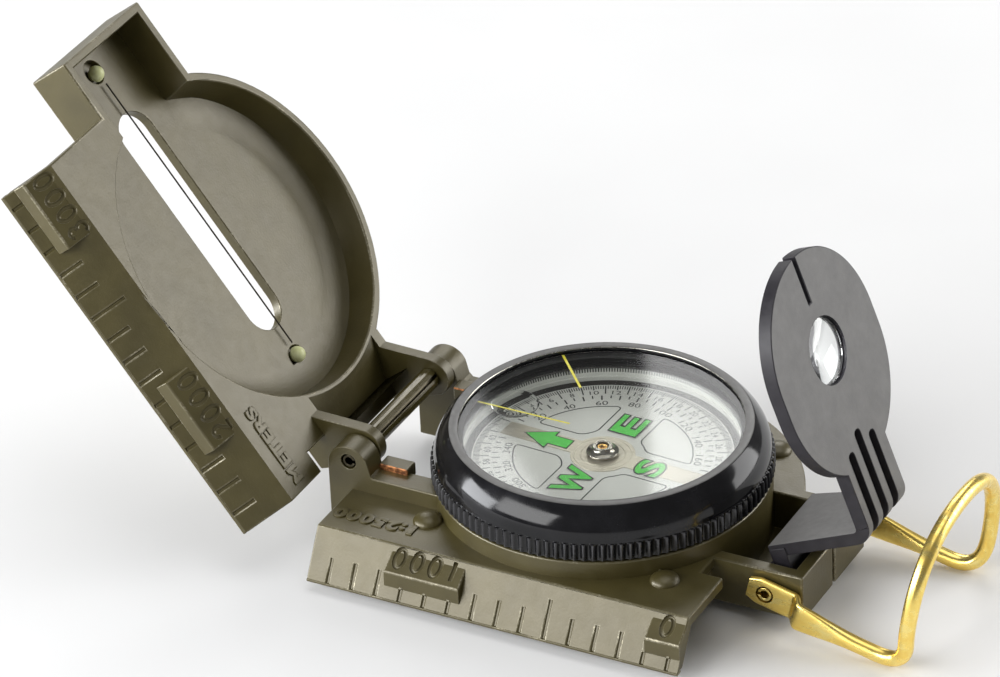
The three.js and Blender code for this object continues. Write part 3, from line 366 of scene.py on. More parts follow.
# Painted shade: the dark colour given to the capsule wall's band below the card
GROOVE_PAINTED_SHADE = plastic("painted_groove_shade", (0.012, 0.01, 0.007), (0.03, 0.026, 0.02), 0.3, 0.6)
WALL = plastic("capsule_white", (0.66, 0.66, 0.62), (0.76, 0.76, 0.73), 0.16, 0.2)
INK = plastic("black_ink", (0.008, 0.008, 0.008), (0.03, 0.03, 0.03), 0.4, 2.0)
GREEN = plastic("green_ink", (0.045, 0.58, 0.035), (0.075, 0.7, 0.06), 0.42, 0.8)
YELLOW = plastic("yellow_line", (0.66, 0.58, 0.02), (0.8, 0.73, 0.06), 0.4, 1.5)
LUMINOUS = plastic("luminous", (0.58, 0.6, 0.27), (0.74, 0.77, 0.46), 0.4, 1.2)
RUBBER = plastic("soft_rubber", (0.012, 0.012, 0.012), (0.03, 0.03, 0.03), 0.6, 0.8)
GLASS = flat_glass()
LENS_GLASS = clear_glass("lens_glass", (0.96, 0.98, 0.975), 1.5)
BUBBLE = clear_glass("air_bubble", (0.99, 0.995, 0.99), 1.11)


# Shapes, each as points and faces in drawn millimetres

def merged(shapes):
    """Several shapes as one."""
    points = []
    faces = []
    for more, rings in shapes:
        start = len(points)
        points.extend(more)
        faces.extend(tuple(start + k for k in ring) for ring in rings)
    return points, faces


def moved(shape, turn):
    points, faces = shape
    return [turn @ Vector(p) for p in points], faces


def skin(rings, closed=False):
    """A skin through rings of as many points each; its ends are capped, or joined if it is closed."""
    size = len(rings[0])
    points = [point for ring in rings for point in ring]
    faces = []
    for k in range(len(rings) if closed else len(rings) - 1):
        low = k * size
        high = (k + 1) % len(rings) * size
        for j in range(size):
            n = (j + 1) % size
            faces.append((low + j, low + n, high + n, high + j))
    if not closed:
        count = len(points)
        faces += [tuple(range(size)), tuple(range(count - 1, count - size - 1, -1))]
    return points, faces


def tube(path, sections, closed=False):
    """A tube along a path, with a section at each point as steps up from the path and out to its side."""
    rings = []
    normal = Vector((0, 0, 1))
    for k, spot in enumerate(path):
        before = path[k - 1] if closed or k else spot
        after = path[(k + 1) % len(path)] if closed or k < len(path) - 1 else spot
        tangent = (after - before).normalized()
        normal = (normal - tangent * normal.dot(tangent)).normalized()
        side = tangent.cross(normal)
        rings.append([spot + normal * up + side * out for up, out in sections[k]])
    return skin(rings, closed)


def lathe(profile, sides, closed=False):
    """A profile of radius and height turned about Z. Radius 0 makes a single point."""
    points = []
    rings = []
    for radius, height in profile:
        count = sides if radius else 1
        rings.append([len(points) + k % count for k in range(sides)])
        points.extend(polar(radius, 2 * math.pi * k / sides, height) for k in range(count))
    if closed:
        rings.append(rings[0])
    faces = []
    for low, high in zip(rings, rings[1:]):
        for k in range(sides):
            n = (k + 1) % sides
            faces.append(tuple(dict.fromkeys((low[k], low[n], high[n], high[k]))))
    return points, faces


def rod(radius, low, high, sides):
    """A round bar along Z."""
    return lathe([(0, low), (radius, low), (radius, high), (0, high)], sides)


def disc(radius, bottom, top, ease):
    """A round plate with eased edges."""
    rim = [(radius - ease, bottom), (radius, bottom + ease), (radius, top - ease), (radius - ease, top)]
    return lathe([(0, bottom)] + rim + [(0, top)], 160)


def dome(radius, foot, top, steps):
    """A quarter of an oval as a profile of radius and height, up to a point on the axis."""
    turns = [math.pi / 2 * k / steps for k in range(steps)]
    return [(radius * math.cos(t), foot + (top - foot) * math.sin(t)) for t in turns] + [(0, top)]


def block(low, high):
    """A box between two corners."""
    ring = [(low[0], low[1]), (high[0], low[1]), (high[0], high[1]), (low[0], high[1])]
    return skin([[(x, y, z) for x, y in ring] for z in (low[2], high[2])])


def bar(start, end, half, low, high):
    """A straight flat strip between two points in X and Y."""
    start = Vector(start)
    end = Vector(end)
    along = (end - start).normalized()
    side = Vector((-along.y, along.x)) * half
    ring = [start - side, end - side, end + side, start + side]
    return skin([[(c.x, c.y, z) for c in ring] for z in (low, high)])


def ribbon(path, half):
    """A flat closed band of points in X and Y along a closed path."""
    points = []
    faces = []
    count = len(path)
    for k, spot in enumerate(path):
        n = (k + 1) % count
        along = (path[n] - path[k - 1]).normalized()
        side = Vector((-along.y, along.x, 0)) * half
        points.extend((spot + side, spot - side))
        faces.append((2 * k, 2 * n, 2 * n + 1, 2 * k + 1))
    return points, faces


def lettering(text, width, height, depth=0.0, grow=0.0, edge=0.0, spread=1.0):
    """Letters centred on the origin in X and Y, stretched to a width and a height."""
    curve = bpy.data.curves.new("lettering", "FONT")
    curve.body = text
    curve.space_character = spread
    curve.resolution_u = 4
    curve.extrude = depth
    curve.offset = grow
    curve.bevel_depth = edge
    curve.bevel_resolution = 2
    holder = bpy.data.objects.new("lettering", curve)
    mesh = bpy.data.meshes.new_from_object(holder)
    xs = [v.co.x for v in mesh.vertices]
    ys = [v.co.y for v in mesh.vertices]
    middle = Vector(((min(xs) + max(xs)) / 2, (min(ys) + max(ys)) / 2, 0))
    stretch = Matrix.Diagonal((width / (max(xs) - min(xs)), height / (max(ys) - min(ys)), 1))
    points = [stretch @ (v.co - middle) for v in mesh.vertices]
    faces = [tuple(p.vertices) for p in mesh.polygons]
    bpy.data.objects.remove(holder)
    bpy.data.curves.remove(curve)
    bpy.data.meshes.remove(mesh)
    return points, faces


# Pieces

def placed(name, data):
    """A new object in the scene."""
    made = bpy.data.objects.new(name, data)
    bpy.context.scene.collection.objects.link(made)
    return made


def piece(name, body, slot, mesh, *nodes):
    """Shows a mesh as a piece of a body, in place of the solids it stands for."""
    made = placed(name, mesh)
    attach(made, body)
    if nodes:
        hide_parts(*nodes)


def shaded(mesh, angle):
    """Smooth shading, with the true corners kept."""
    mesh.shade_smooth()
    mesh.set_sharp_from_angle(angle=angle)


def mesh_of(name, shape, turn, materials=(), indices=None, angle=SHARP):
    """A mesh from a shape."""
    points, faces = shape
    mesh = bpy.data.meshes.new(name)
    mesh.from_pydata([turn @ Vector(p) for p in points], [], faces)
    for mat in materials:
        mesh.materials.append(mat)
    if indices:
        mesh.polygons.foreach_set("material_index", indices)
    made = bmesh.new()
    made.from_mesh(mesh)
    bmesh.ops.recalc_face_normals(made, faces=made.faces)
    made.to_mesh(mesh)
    made.free()
    shaded(mesh, angle)
    return mesh


def show(name, body, slot, shape, turn, mat, *nodes):
    """Shows a shape as a piece of one material."""
    piece(name, body, slot, mesh_of(name, shape, turn, [mat]), *nodes)


def clean_copy(node):
    """A solid's own mesh, to be dressed."""
    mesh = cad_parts[node].data.copy()
    if "custom_normal" in mesh.attributes:
        mesh.attributes.remove(mesh.attributes["custom_normal"])
    mesh.materials.clear()
    return mesh


def settled(made):
    """The mesh of an object with its modifiers carried out."""
    bpy.context.view_layer.update()
    ready = made.evaluated_get(bpy.context.evaluated_depsgraph_get())
    return bpy.data.meshes.new_from_object(ready)


def marked(mesh, width, keep):
    """Makes flat faces whole and marks the outer corners for a bevel, narrower where there is little room.

    Corners between two points that keep accepts stay as they are."""
    made = bmesh.new()
    made.from_mesh(mesh)
    bmesh.ops.remove_doubles(made, verts=made.verts, dist=WELD)
    bmesh.ops.dissolve_limit(made, angle_limit=FLAT, verts=made.verts, edges=made.edges)
    room = {v: min(e.calc_length() for e in v.link_edges) for v in made.verts if v.link_edges}
    weight = made.edges.layers.float.new("bevel_weight_edge")
    for edge in made.edges:
        kept = keep is not None and all(keep(v.co) for v in edge.verts)
        if len(edge.link_faces) == 2 and edge.is_convex and edge.calc_face_angle() > SHARP and not kept:
            spare = BEVEL_SHARE * min(room[v] for v in edge.verts) / (width * MM)
            edge[weight] = min(1.0, spare)
    made.to_mesh(mesh)
    made.free()


def bevelled(mesh, width, face, edge, steps=2, keep=None):
    """A mesh with rounded outer corners; the roundings take their own material."""
    marked(mesh, width, keep)
    mesh.materials.clear()
    mesh.materials.append(face)
    mesh.materials.append(edge)
    mesh.polygons.foreach_set("material_index", [0] * len(mesh.polygons))
    shaded(mesh, CREASE)
    holder = placed("holder", mesh)
    round_off = holder.modifiers.new("round", "BEVEL")
    round_off.width = width * MM
    round_off.segments = steps
    round_off.limit_method = "WEIGHT"
    round_off.use_clamp_overlap = False
    round_off.harden_normals = True
    round_off.material = 1
    result = settled(holder)
    bpy.data.objects.remove(holder)
    return result


def engraved(mesh, shape, turn, crossed=False):
    """A mesh with a shape cut out of it; crossed if the shape runs through itself."""
    holder = placed("holder", mesh)
    tool = placed("tool", mesh_of("tool", shape, turn))
    sink = holder.modifiers.new("sink", "BOOLEAN")
    sink.operation = "DIFFERENCE"
    sink.solver = "EXACT"
    sink.use_self = crossed
    sink.object = tool
    result = settled(holder)
    bpy.data.objects.remove(holder)
    bpy.data.objects.remove(tool)
    return result


# Map rulers of the base and the cover

PLATE_TOP = 7.5
RULER_REACH = 31.1
BASE_FOLD = 26.8
COVER_FOLD = 26.0
BASE_EDGE = 0.3
COVER_EDGE = 0.6

MARK_ZERO = 25.25
MARK_PITCH = 4.0
MARK_LENGTH = 4.0
LONG_MARK = 6.0
MARK_HALF = 0.37
MARK_FLOOR_HALF = 0.12
MARK_SINK = 0.26
MARK_LIP = 0.02
MARK_CLEAR = 0.7
MARK_OVERRUN = 0.4
BASE_MARKS = range(15)
COVER_MARKS = range(16, 31)

# Number pads: their numbers, with where each pad begins and ends
BASE_PADS = {"1000": (-21.5, -9.0), "0": (21.4, 27.1)}
COVER_PADS = {"3000": (-97.2, -85.5), "2000": (-61.0, -48.5)}
PAD_BACK = 0.8
PAD_INSET = 0.9
PAD_DROP = 2.95
PAD_FOOT = 1.95
PAD_MARGIN = 0.4
NUMBER_LIFT = 0.1
NUMBER_HEIGHT = 3.7
DIGIT_PITCH = 2.95
DIGIT_WIDTH = 2.4
STROKE_HALF = 0.36

TEXT_DEPTH = 0.18
TEXT_EDGE = 0.07
TEXT_SPREAD = 1.12

BASE_SPAN = (-34.3, 27.1)
COVER_SPAN = (-97.2, -35.3)
BASE_TOE = 0.42
COVER_TOE = 0.55
TOE_WIDTH = 1.3
TOE_OVERLAP = 0.02
TOE_BEVEL = 0.14


def swept(x, y, half_width, half_height, first, last):
    """Points on part of an oval, from one angle to another in degrees."""
    steps = 24
    turns = [math.radians(first + (last - first) * k / steps) for k in range(steps + 1)]
    return [Vector((x + half_width * math.cos(t), y + half_height * math.sin(t), 0)) for t in turns]


def straight(first, last):
    """Points along a line, closer together at its ends."""
    start = Vector((*first, 0))
    return [start.lerp(Vector((*last, 0)), t) for t in (0, 0.04, 0.1, 0.5, 0.9, 0.96, 1)]


# The middle line of each digit in a box one wide and one high; only the 0 is closed
DIGITS = {
    "0": swept(0, 0, 0.5, 0.5, 0, 345),
    "1": straight((0, -0.5), (0, 0.5)),
    "2": swept(0, 0.22, 0.47, 0.28, 170, -35) + straight((-0.46, -0.46), (0.5, -0.5)),
    "3": swept(-0.02, 0.25, 0.42, 0.25, 155, -80) + swept(-0.02, -0.24, 0.5, 0.26, 80, -155),
}


def pad_number(text, pad, fold):
    """What is cut for a number: its line runs towards -X and its digits stand down the pad's slope."""
    wide = DIGIT_WIDTH - 2 * STROKE_HALF
    tall = NUMBER_HEIGHT - 2 * STROKE_HALF
    turns = [2 * math.pi * k / 12 for k in range(12)]
    stroke = [(STROKE_HALF * math.sin(t), -STROKE_HALF * math.cos(t)) for t in turns]
    shapes = []
    for k, digit in enumerate(text):
        shift = (k - (len(text) - 1) / 2) * DIGIT_PITCH
        path = [Vector((shift + p.x * wide, p.y * tall, NUMBER_LIFT)) for p in DIGITS[digit]]
        shapes.append(tube(path, [stroke] * len(path), digit == "0"))
    high = Vector((sum(pad) / 2, PAD_BACK - fold, PLATE_TOP))
    low = Vector((sum(pad) / 2, PAD_INSET - RULER_REACH, PLATE_TOP - PAD_DROP))
    return moved(merged(shapes), axes((high + low) / 2, (-1, 0, 0), low - high))


def slope_axes(fold, edge):
    """The ruler's slope in Y and Z: its foot, the way up it and the way out of it."""
    foot = Vector((0, -RULER_REACH, edge))
    up = (Vector((0, -fold, PLATE_TOP)) - foot).normalized()
    return foot, up, Vector((0, -up.z, up.y))


def mark_grooves(fold, edge, marks, pads):
    """What is cut from a ruler for its marks; at a number pad a mark ends under the pad's foot."""
    foot, up, out = slope_axes(fold, edge)
    half = [(MARK_HALF, MARK_CLEAR), (MARK_HALF, MARK_LIP), (MARK_FLOOR_HALF, -MARK_SINK)]
    section = [(-x, rise) for x, rise in half] + half[::-1]
    shapes = []
    for mark in marks:
        middle = MARK_ZERO - mark * MARK_PITCH
        reach = LONG_MARK if mark % 10 == 5 else MARK_LENGTH
        if any(low - PAD_MARGIN < middle < high + PAD_MARGIN for low, high in pads.values()):
            reach = PAD_FOOT
        ring = [Vector((middle + x, 0, 0)) + foot + out * rise for x, rise in section]
        shapes.append(skin([[spot + up * way for spot in ring] for way in (-MARK_OVERRUN, reach)]))
    return merged(shapes)


def ruled(mesh, turn, fold, edge, marks, pads):
    """A casting with its ruler's marks and numbers sunk into it."""
    mesh = engraved(mesh, mark_grooves(fold, edge, marks, pads), turn)
    for text, pad in pads.items():
        mesh = engraved(mesh, pad_number(text, pad, fold), turn, True)
    return mesh


def raised_text(name, body, turn, text, middle, width, height):
    """Words on the level plate, read from the ruler's side."""
    line = axes((*middle, PLATE_TOP), (-1, 0, 0), (0, -1, 0))
    shape = lettering(text, width, height, depth=TEXT_DEPTH, edge=TEXT_EDGE, spread=TEXT_SPREAD)
    show(name, body, "olive_paint", moved(shape, line), turn, PAINT)


def toe(name, body, turn, span, edge, drop):
    """The upright lower edge of a ruler's skirt, drawn down a little past its slope."""
    front = -RULER_REACH
    back = front + TOE_WIDTH
    top = edge + TOE_OVERLAP
    section = [(front, top), (front, edge - drop), (back, edge - drop), (back, top)]
    shape = skin([[(x, y, z) for y, z in section] for x in span])
    piece(name, body, "olive_paint", bevelled(mesh_of(name, shape, turn), TOE_BEVEL, PAINT, WORN))


# Base casting

BOSS_AT = [(x, y) for x in (-19.6, 19.6) for y in (-19.4, 19.4)]
BOSS_R = 2.2
BOSS_CROWN_R = 1.3
BOSS_RISE = 1.2
# The cone's rings of points: by radius, the height above the plate and the height they are lowered to
BOSS_RINGS = {BOSS_R: (BOSS_RISE / 2, 0.1), BOSS_CROWN_R: (BOSS_RISE, 0.9)}
DOME_SPARE = 0.03

STOP_X = (-31.0, -26.0)
STOP_REACH = 13.3
RAIL_TOP = 10.1
FACING_RULER = -0.6


def sunk_bosses(mesh):
    """Lowers the two rings of points on each coned boss, so that a dome covers it."""
    back = BASE.inverted()
    for vertex in mesh.vertices:
        spot = back @ vertex.co
        reach = min(math.hypot(spot.x - x, spot.y - y) for x, y in BOSS_AT)
        for radius, (rise, lowered) in BOSS_RINGS.items():
            if abs(reach - radius) < NEAR and abs(spot.z - PLATE_TOP - rise) < NEAR:
                spot.z = PLATE_TOP + lowered
        vertex.co = BASE @ spot


def boss_domes():
    boss = lathe(dome(BOSS_R + DOME_SPARE, PLATE_TOP, PLATE_TOP + BOSS_RISE, 10), 48)
    shapes = [moved(boss, Matrix.Translation((x, y, 0))) for x, y in BOSS_AT]
    show("base_bosses", "base", "olive_paint", merged(shapes), BASE, PAINT)


def bare_stops(mesh):
    """The cover's arms have rubbed the near faces of the stops on the rails down to copper."""
    mesh.materials.append(COPPER)
    back = BASE.inverted()
    for face in mesh.polygons:
        spot = back @ face.center
        on_stop = STOP_X[0] < spot.x < STOP_X[1] and abs(spot.y) < STOP_REACH and spot.z > RAIL_TOP + NEAR
        if on_stop and face.normal.y < FACING_RULER:
            face.material_index = 2


def base():
    mesh = clean_copy("base_case")
    sunk_bosses(mesh)
    mesh = ruled(mesh, BASE, BASE_FOLD, BASE_EDGE, BASE_MARKS, BASE_PADS)
    mesh = bevelled(mesh, CASTING_BEVEL, PAINT, WORN, 3)
    bare_stops(mesh)
    piece("base_casting", "base", "olive_paint", mesh, "base_case")
    boss_domes()
    toe("base_toe", "base", BASE, BASE_SPAN, BASE_EDGE, BASE_TOE)
    raised_text("base_scale", "base", BASE, "1:25000", (-26.8, -22.75), 13.6, 2.6)


# Cover casting

DISH_X = 2 * HINGE.x
COVER_FLOOR = 1.7
DISH_MIDDLE = Vector((DISH_X, 0, COVER_FLOOR))
DISH_INNER_R = 25.66
DISH_DRAFT = 0.8
COVER_RIM_R = 27.0
RIM_TRIM = 0.5
RIM_PROUD = 0.001
TAB_INNER_HALF = 9.5

WEB_LEVEL = 4.69
WEB_HALF = 9.92
WEB_CREST_R = 26.25
WEB_END = HINGE.x - 3.0
WEB_SKY = 9.5

FILLET_FOOT = DISH_INNER_R - DISH_DRAFT + 0.1
FILLET_REACH = 4.4
FILLET_RISE = 0.9
FILLET_LIFT = 0.006
FILLET_ROOT = -0.3
FILLET_FADE = math.radians(14)
FILLET_GAP = 0.01


def fold_trim(mesh):
    """Draws the sliver of the round rim that stands out past the ruler's fold back to the slope."""
    back = COVER.inverted()
    foot, up, out = slope_axes(COVER_FOLD, COVER_EDGE)
    for vertex in mesh.vertices:
        spot = back @ vertex.co
        rise = (spot - foot).dot(out)
        on_rim = abs(math.hypot(spot.x - DISH_X, spot.y) - COVER_RIM_R) < NEAR
        if on_rim and spot.y < RIM_TRIM - COVER_FOLD and rise > RIM_PROUD:
            spot.y += rise / abs(out.y)
            vertex.co = COVER @ spot


def on_fold(point):
    """Whether a point lies on the cover's fold between plate and ruler."""
    spot = COVER.inverted() @ point
    return abs(spot.y + COVER_FOLD) < 2 * NEAR and abs(spot.z - PLATE_TOP) < 2 * NEAR


def web_hollow():
    """What is cut from the cover's web, so that it falls away from the round rim itself."""
    steps = 20
    rings = []
    for k in range(steps + 1):
        y = WEB_HALF * (2 * k / steps - 1)
        x = DISH_X + math.sqrt(WEB_CREST_R ** 2 - y ** 2)
        rings.append([(x, y, PLATE_TOP), (WEB_END, y, WEB_LEVEL), (WEB_END, y, WEB_SKY), (x, y, WEB_SKY)])
    return skin(rings)


def dish_fillet():
    """The floor's shallow rise towards the dish's wall; it fades out beside the tab."""
    start = math.asin(TAB_INNER_HALF / FILLET_FOOT) + FILLET_GAP - math.pi
    sides = 128
    steps = 12
    rings = []
    for k in range(sides + 1):
        angle = start - 2 * start * k / sides
        rise = FILLET_RISE * smooth_step(min(angle - start, -start - angle), 0, FILLET_FADE)
        profile = [(j / steps, rise * (j / steps) ** 2 + FILLET_LIFT) for j in range(steps + 1)]
        profile += [(1, FILLET_ROOT), (0, FILLET_ROOT)]
        ring = [polar(FILLET_FOOT - FILLET_REACH * (1 - share), angle, height) for share, height in profile]
        rings.append([DISH_MIDDLE + spot for spot in ring])
    show("dish_fillet", "cover", "olive_paint", skin(rings), COVER, PAINT)


def cover():
    mesh = clean_copy("cover_case")
    fold_trim(mesh)
    mesh = ruled(mesh, COVER, COVER_FOLD, COVER_EDGE, COVER_MARKS, COVER_PADS)
    mesh = engraved(mesh, web_hollow(), COVER)
    mesh = bevelled(mesh, CASTING_BEVEL, PAINT, WORN, 3, on_fold)
    piece("cover_casting", "cover", "olive_paint", mesh, "cover_case")
    toe("cover_toe", "cover", COVER, COVER_SPAN, COVER_EDGE, COVER_TOE)
    raised_text("cover_units", "cover", COVER, "METERS", (-43.4, -22.3), 13.6, 2.5)
    dish_fillet()


# Hinge, sight wire and luminous beads

WIRE_R = 0.13
WIRE_LEVEL = 2.35
WIRE_X = (-100.2, -51.5)
BEAD_X = {"upper": -102.22, "lower": -49.52}
BEAD_R = 1.3
BEAD_TOP = 3.1
BEAD_FOOT = 0.9
BEAD_FOOT_R = 0.9


def hinge():
    for name, body, slot, mat, node in (
        ("hinge_tube", "cover", "olive_paint", SLEEVE, "hinge_sleeve"),
        ("hinge_pin_tube", "base", "pin_steel", PIN, "hinge_pin"),
        ("bracket_pin_tube", "base", "loop_brass", BRASS, "bracket_pin"),
    ):
        piece(name, body, slot, bevelled(clean_copy(node), TUBE_BEVEL, mat, mat), node)


def sight():
    lying = Matrix.Translation((WIRE_X[0], 0, WIRE_LEVEL)) @ LAID_ALONG_X
    shape = moved(rod(WIRE_R, 0, WIRE_X[1] - WIRE_X[0], 16), lying)
    show("sight_hair", "cover", "pin_steel", shape, COVER, WIRE, "sight_wire")
    profile = [(0, BEAD_FOOT), (BEAD_FOOT_R, BEAD_FOOT)] + dome(BEAD_R, COVER_FLOOR, BEAD_TOP, 8)
    for end, x in BEAD_X.items():
        shape = moved(lathe(profile, 32), Matrix.Translation((x, 0, 0)))
        show("sight_bead_" + end, "cover", "luminous", shape, COVER, LUMINOUS, "sight_dot_" + end)


# Bezel

KNURL_TEETH = 116
KNURL_STEPS = 10
KNURL_R = 25.8
KNURL_DEPTH = 0.62
KNURL_POWER = 0.8
KNURL_TOP = 13.66
SHOULDER_R = 25.3
SHOULDER_PULL = Vector((25.48, 16.25))
BEZEL_BOTTOM = 10.7
BEZEL_BORE_R = 23.9
BEZEL_FOOT_R = 25.0
BEZEL_TOP = 18.75
BEZEL_TOP_R = 22.83
WINDOW_R = 21.4
SEAT_R = 21.95
SEAT_FOOT = 14.2
GLASS_TOP = 18.3
GLASS_BOTTOM = 17.4


def shoulder_curve(steps):
    """The bezel's sloping side, as radius and height from the top ring down to the knurl."""
    start = Vector((BEZEL_TOP_R + 0.1, BEZEL_TOP - 0.12))
    end = Vector((SHOULDER_R, KNURL_TOP))
    return [curve_point([start, SHOULDER_PULL, end], k / steps) for k in range(steps + 1)]


def knurl_cut(share):
    """How deep the knurl is cut at a share of a tooth: a narrow rounded rib and a wide valley."""
    return KNURL_DEPTH * (0.5 + 0.5 * math.cos(2 * math.pi * share)) ** KNURL_POWER


def bezel_rows():
    """Rows of radius, height, share of the knurl's cut, and the material from there to the next row."""
    rows = [(BEZEL_BORE_R, BEZEL_BOTTOM, 0, GLOSS), (BEZEL_BORE_R, SEAT_FOOT, 0, GLOSS)]
    rows += [(SEAT_R, SEAT_FOOT, 0, GLOSS), (SEAT_R, GLASS_TOP, 0, GLOSS), (WINDOW_R, GLASS_TOP, 0, GLOSS)]
    # The window's edge above the glass is coloured pale: a painted highlight
    rows += [(WINDOW_R, BEZEL_TOP - 0.14, 0, LIP_HIGHLIGHT), (WINDOW_R + 0.04, BEZEL_TOP - 0.03, 0, SATIN)]
    rows += [(WINDOW_R + 0.12, BEZEL_TOP, 0, SATIN), (BEZEL_TOP_R - 0.16, BEZEL_TOP, 0, SATIN)]
    rows += [(BEZEL_TOP_R, BEZEL_TOP - 0.04, 0, GLOSS)]
    rows += [(radius, height, 0, GLOSS) for radius, height in shoulder_curve(14)]
    rows += [(SHOULDER_R + 0.02, KNURL_TOP - 0.1, 0, KNURL), (KNURL_R - 0.15, KNURL_TOP - 0.16, 0.6, KNURL)]
    rows += [(KNURL_R, KNURL_TOP - 0.42, 1, KNURL), (KNURL_R, BEZEL_BOTTOM + 0.36, 1, KNURL)]
    rows += [(KNURL_R - 0.16, BEZEL_BOTTOM + 0.06, 0.6, KNURL), (BEZEL_FOOT_R, BEZEL_BOTTOM, 0, KNURL)]
    return rows


def bezel():
    """One skin: inner wall, top ring, shoulder, knurl and foot."""
    sides = KNURL_TEETH * KNURL_STEPS
    cuts = [knurl_cut(k % KNURL_STEPS / KNURL_STEPS) for k in range(sides)]
    skins = [GLOSS, SATIN, KNURL, LIP_HIGHLIGHT]
    rings = []
    indices = []
    for radius, height, share, mat in bezel_rows():
        rings.append([polar(radius - share * cuts[k], 2 * math.pi * k / sides, height) for k in range(sides)])
        indices += [skins.index(mat)] * sides
    mesh = mesh_of("bezel_body", skin(rings, True), BASE, skins, indices, ROUND_SHARP)
    piece("bezel_body", "bezel", "bezel_black", mesh, "bezel_ring")


# Glass, with its lines

PANE_EASE = 0.12
PANE_R = 21.75
CRYSTAL_R = 21.6
CRYSTAL_BOTTOM = 15.6
CRYSTAL_TOP = 16.9
INDEX_AT = math.radians(132.4)
INDEX_REACH = (11.7, 21.55)
INDEX_HALF = 0.19
INDEX_DEPTH = (0.42, 0.46)
LUBBER_X = (-21.3, -5.4)
LUBBER_HALF = 0.15
LUBBER_RISE = (0.14, 0.17)


def glazing():
    shape = disc(PANE_R, GLASS_BOTTOM, GLASS_TOP, PANE_EASE)
    show("bezel_pane", "bezel", "clear_glass", shape, BASE, GLASS, "bezel_glass")
    shape = disc(CRYSTAL_R, CRYSTAL_BOTTOM, CRYSTAL_TOP, PANE_EASE)
    show("capsule_pane", "base", "clear_glass", shape, BASE, GLASS, "capsule_crystal")
    ends = [polar(reach, INDEX_AT).xy for reach in INDEX_REACH]
    shape = bar(*ends, INDEX_HALF, *(GLASS_BOTTOM + depth for depth in INDEX_DEPTH))
    show("bezel_index_line", "bezel", "luminous", shape, BASE, YELLOW)
    ends = [(x, 0) for x in LUBBER_X]
    shape = bar(*ends, LUBBER_HALF, *(CRYSTAL_TOP + rise for rise in LUBBER_RISE))
    show("capsule_lubber_line", "base", "luminous", shape, BASE, YELLOW)


# Capsule

CAPSULE_R = 21.6
CAPSULE_FOOT = 0.55
CAPSULE_INSIDE = 1.75
CAPSULE_BORE = 20.8
CAPSULE_TOP = 15.3
CAPSULE_LIP = 0.2
# Top of the band of capsule wall painted dark as shade below the card
PAINTED_SHADE_TOP = 13.14
WALL_STEP = 0.15
WALL_STEP_LEVELS = (13.82, 13.9)
WALL_SLOPE = 0.2
WALL_SLOPE_LEVELS = (14.4, 14.5)
MIL_MARKS = 320
WALL_MARK_LOW = (CAPSULE_BORE + 0.19, 14.54)
WALL_MARK_HIGH = (21.36, 15.28)
WALL_MARK_HALF = 0.1
BUBBLE_AT = (-16.95, 4.5, 0)
BUBBLE_R = 3.65
BUBBLE_TOP = 15.58
BUBBLE_DEPTH = 1.1


def heading(degrees):
    """Unit vectors outwards and clockwise at a heading on the card; north is towards -X."""
    out = polar(1, math.pi - math.radians(degrees))
    return out, Vector((out.y, -out.x, 0))


def capsule():
    """The cup, its wall stepped twice; below the card a band of the wall is painted dark: painted shade for
    the gap under the card's edge.
    """
    sides = 160
    profile = [(0, CAPSULE_FOOT), (CAPSULE_R, CAPSULE_FOOT), (CAPSULE_R, CAPSULE_TOP)]
    profile += [(CAPSULE_R - CAPSULE_LIP, CAPSULE_TOP), (CAPSULE_BORE + WALL_SLOPE, WALL_SLOPE_LEVELS[1])]
    profile += [(CAPSULE_BORE + WALL_STEP, level) for level in (WALL_SLOPE_LEVELS[0], WALL_STEP_LEVELS[1])]
    profile += [(CAPSULE_BORE, level) for level in (WALL_STEP_LEVELS[0], PAINTED_SHADE_TOP, CAPSULE_INSIDE)]
    profile += [(0, CAPSULE_INSIDE)]
    # The band of wall below the card takes the painted shade colour
    painted_shade_row = profile.index((CAPSULE_BORE, PAINTED_SHADE_TOP))
    indices = [int(row == painted_shade_row) for row in range(len(profile) - 1) for _ in range(sides)]
    mesh = mesh_of("capsule_cup", lathe(profile, sides), BASE, [WALL, GROOVE_PAINTED_SHADE], indices)
    piece("capsule_cup", "base", "capsule_white", mesh, "capsule_pan")


def mark(degrees, half, *ends):
    """A flat mark along a heading between two ends, each a radius and a height."""
    out, side = heading(degrees)
    inner, outer = [out * reach + Vector((0, 0, level)) for reach, level in ends]
    shift = side * half
    return [inner - shift, inner + shift, outer + shift, outer - shift], [(0, 1, 2, 3)]


def wall_marks():
    """The fine marks round the cup's upper slope."""
    turns = [k * 360 / MIL_MARKS for k in range(MIL_MARKS)]
    shapes = [mark(degrees, WALL_MARK_HALF, WALL_MARK_LOW, WALL_MARK_HIGH) for degrees in turns]
    show("capsule_marks", "base", "capsule_white", merged(shapes), BASE, INK)


def bubble():
    """The air bubble under the crystal: a flat round with bulging sides."""
    bulge = BUBBLE_DEPTH / 2
    shares = [k / 13 for k in range(1, 13)]
    side = [(BUBBLE_R - bulge + bulge * math.sin(math.pi * s), BUBBLE_TOP - BUBBLE_DEPTH * s) for s in shares]
    profile = [(0, BUBBLE_TOP)] + side + [(0, BUBBLE_TOP - BUBBLE_DEPTH)]
    shape = moved(lathe(profile, 64), Matrix.Translation(BUBBLE_AT))
    show("air_bubble", "base", "clear_glass", shape, BASE, BUBBLE)


# Dial

CARD_TOP = 13.0
CARD_R = 19.7
CARD_THICK = 0.4
CARD_EASE = 0.05
PRINT_LEVEL = CARD_TOP + 0.012

# Scale marks, each as its inner radius and half width
MIL_OUTER = 19.45
MIL_MARK = (18.5, 0.08)
MIL_TENTH = (18.2, 0.105)
MIL_FIFTH = (17.1, 0.105)
DEGREE_OUTER = 16.6
DEGREE_MARK = (15.8, 0.1)
DEGREE_TENTH = (15.35, 0.12)

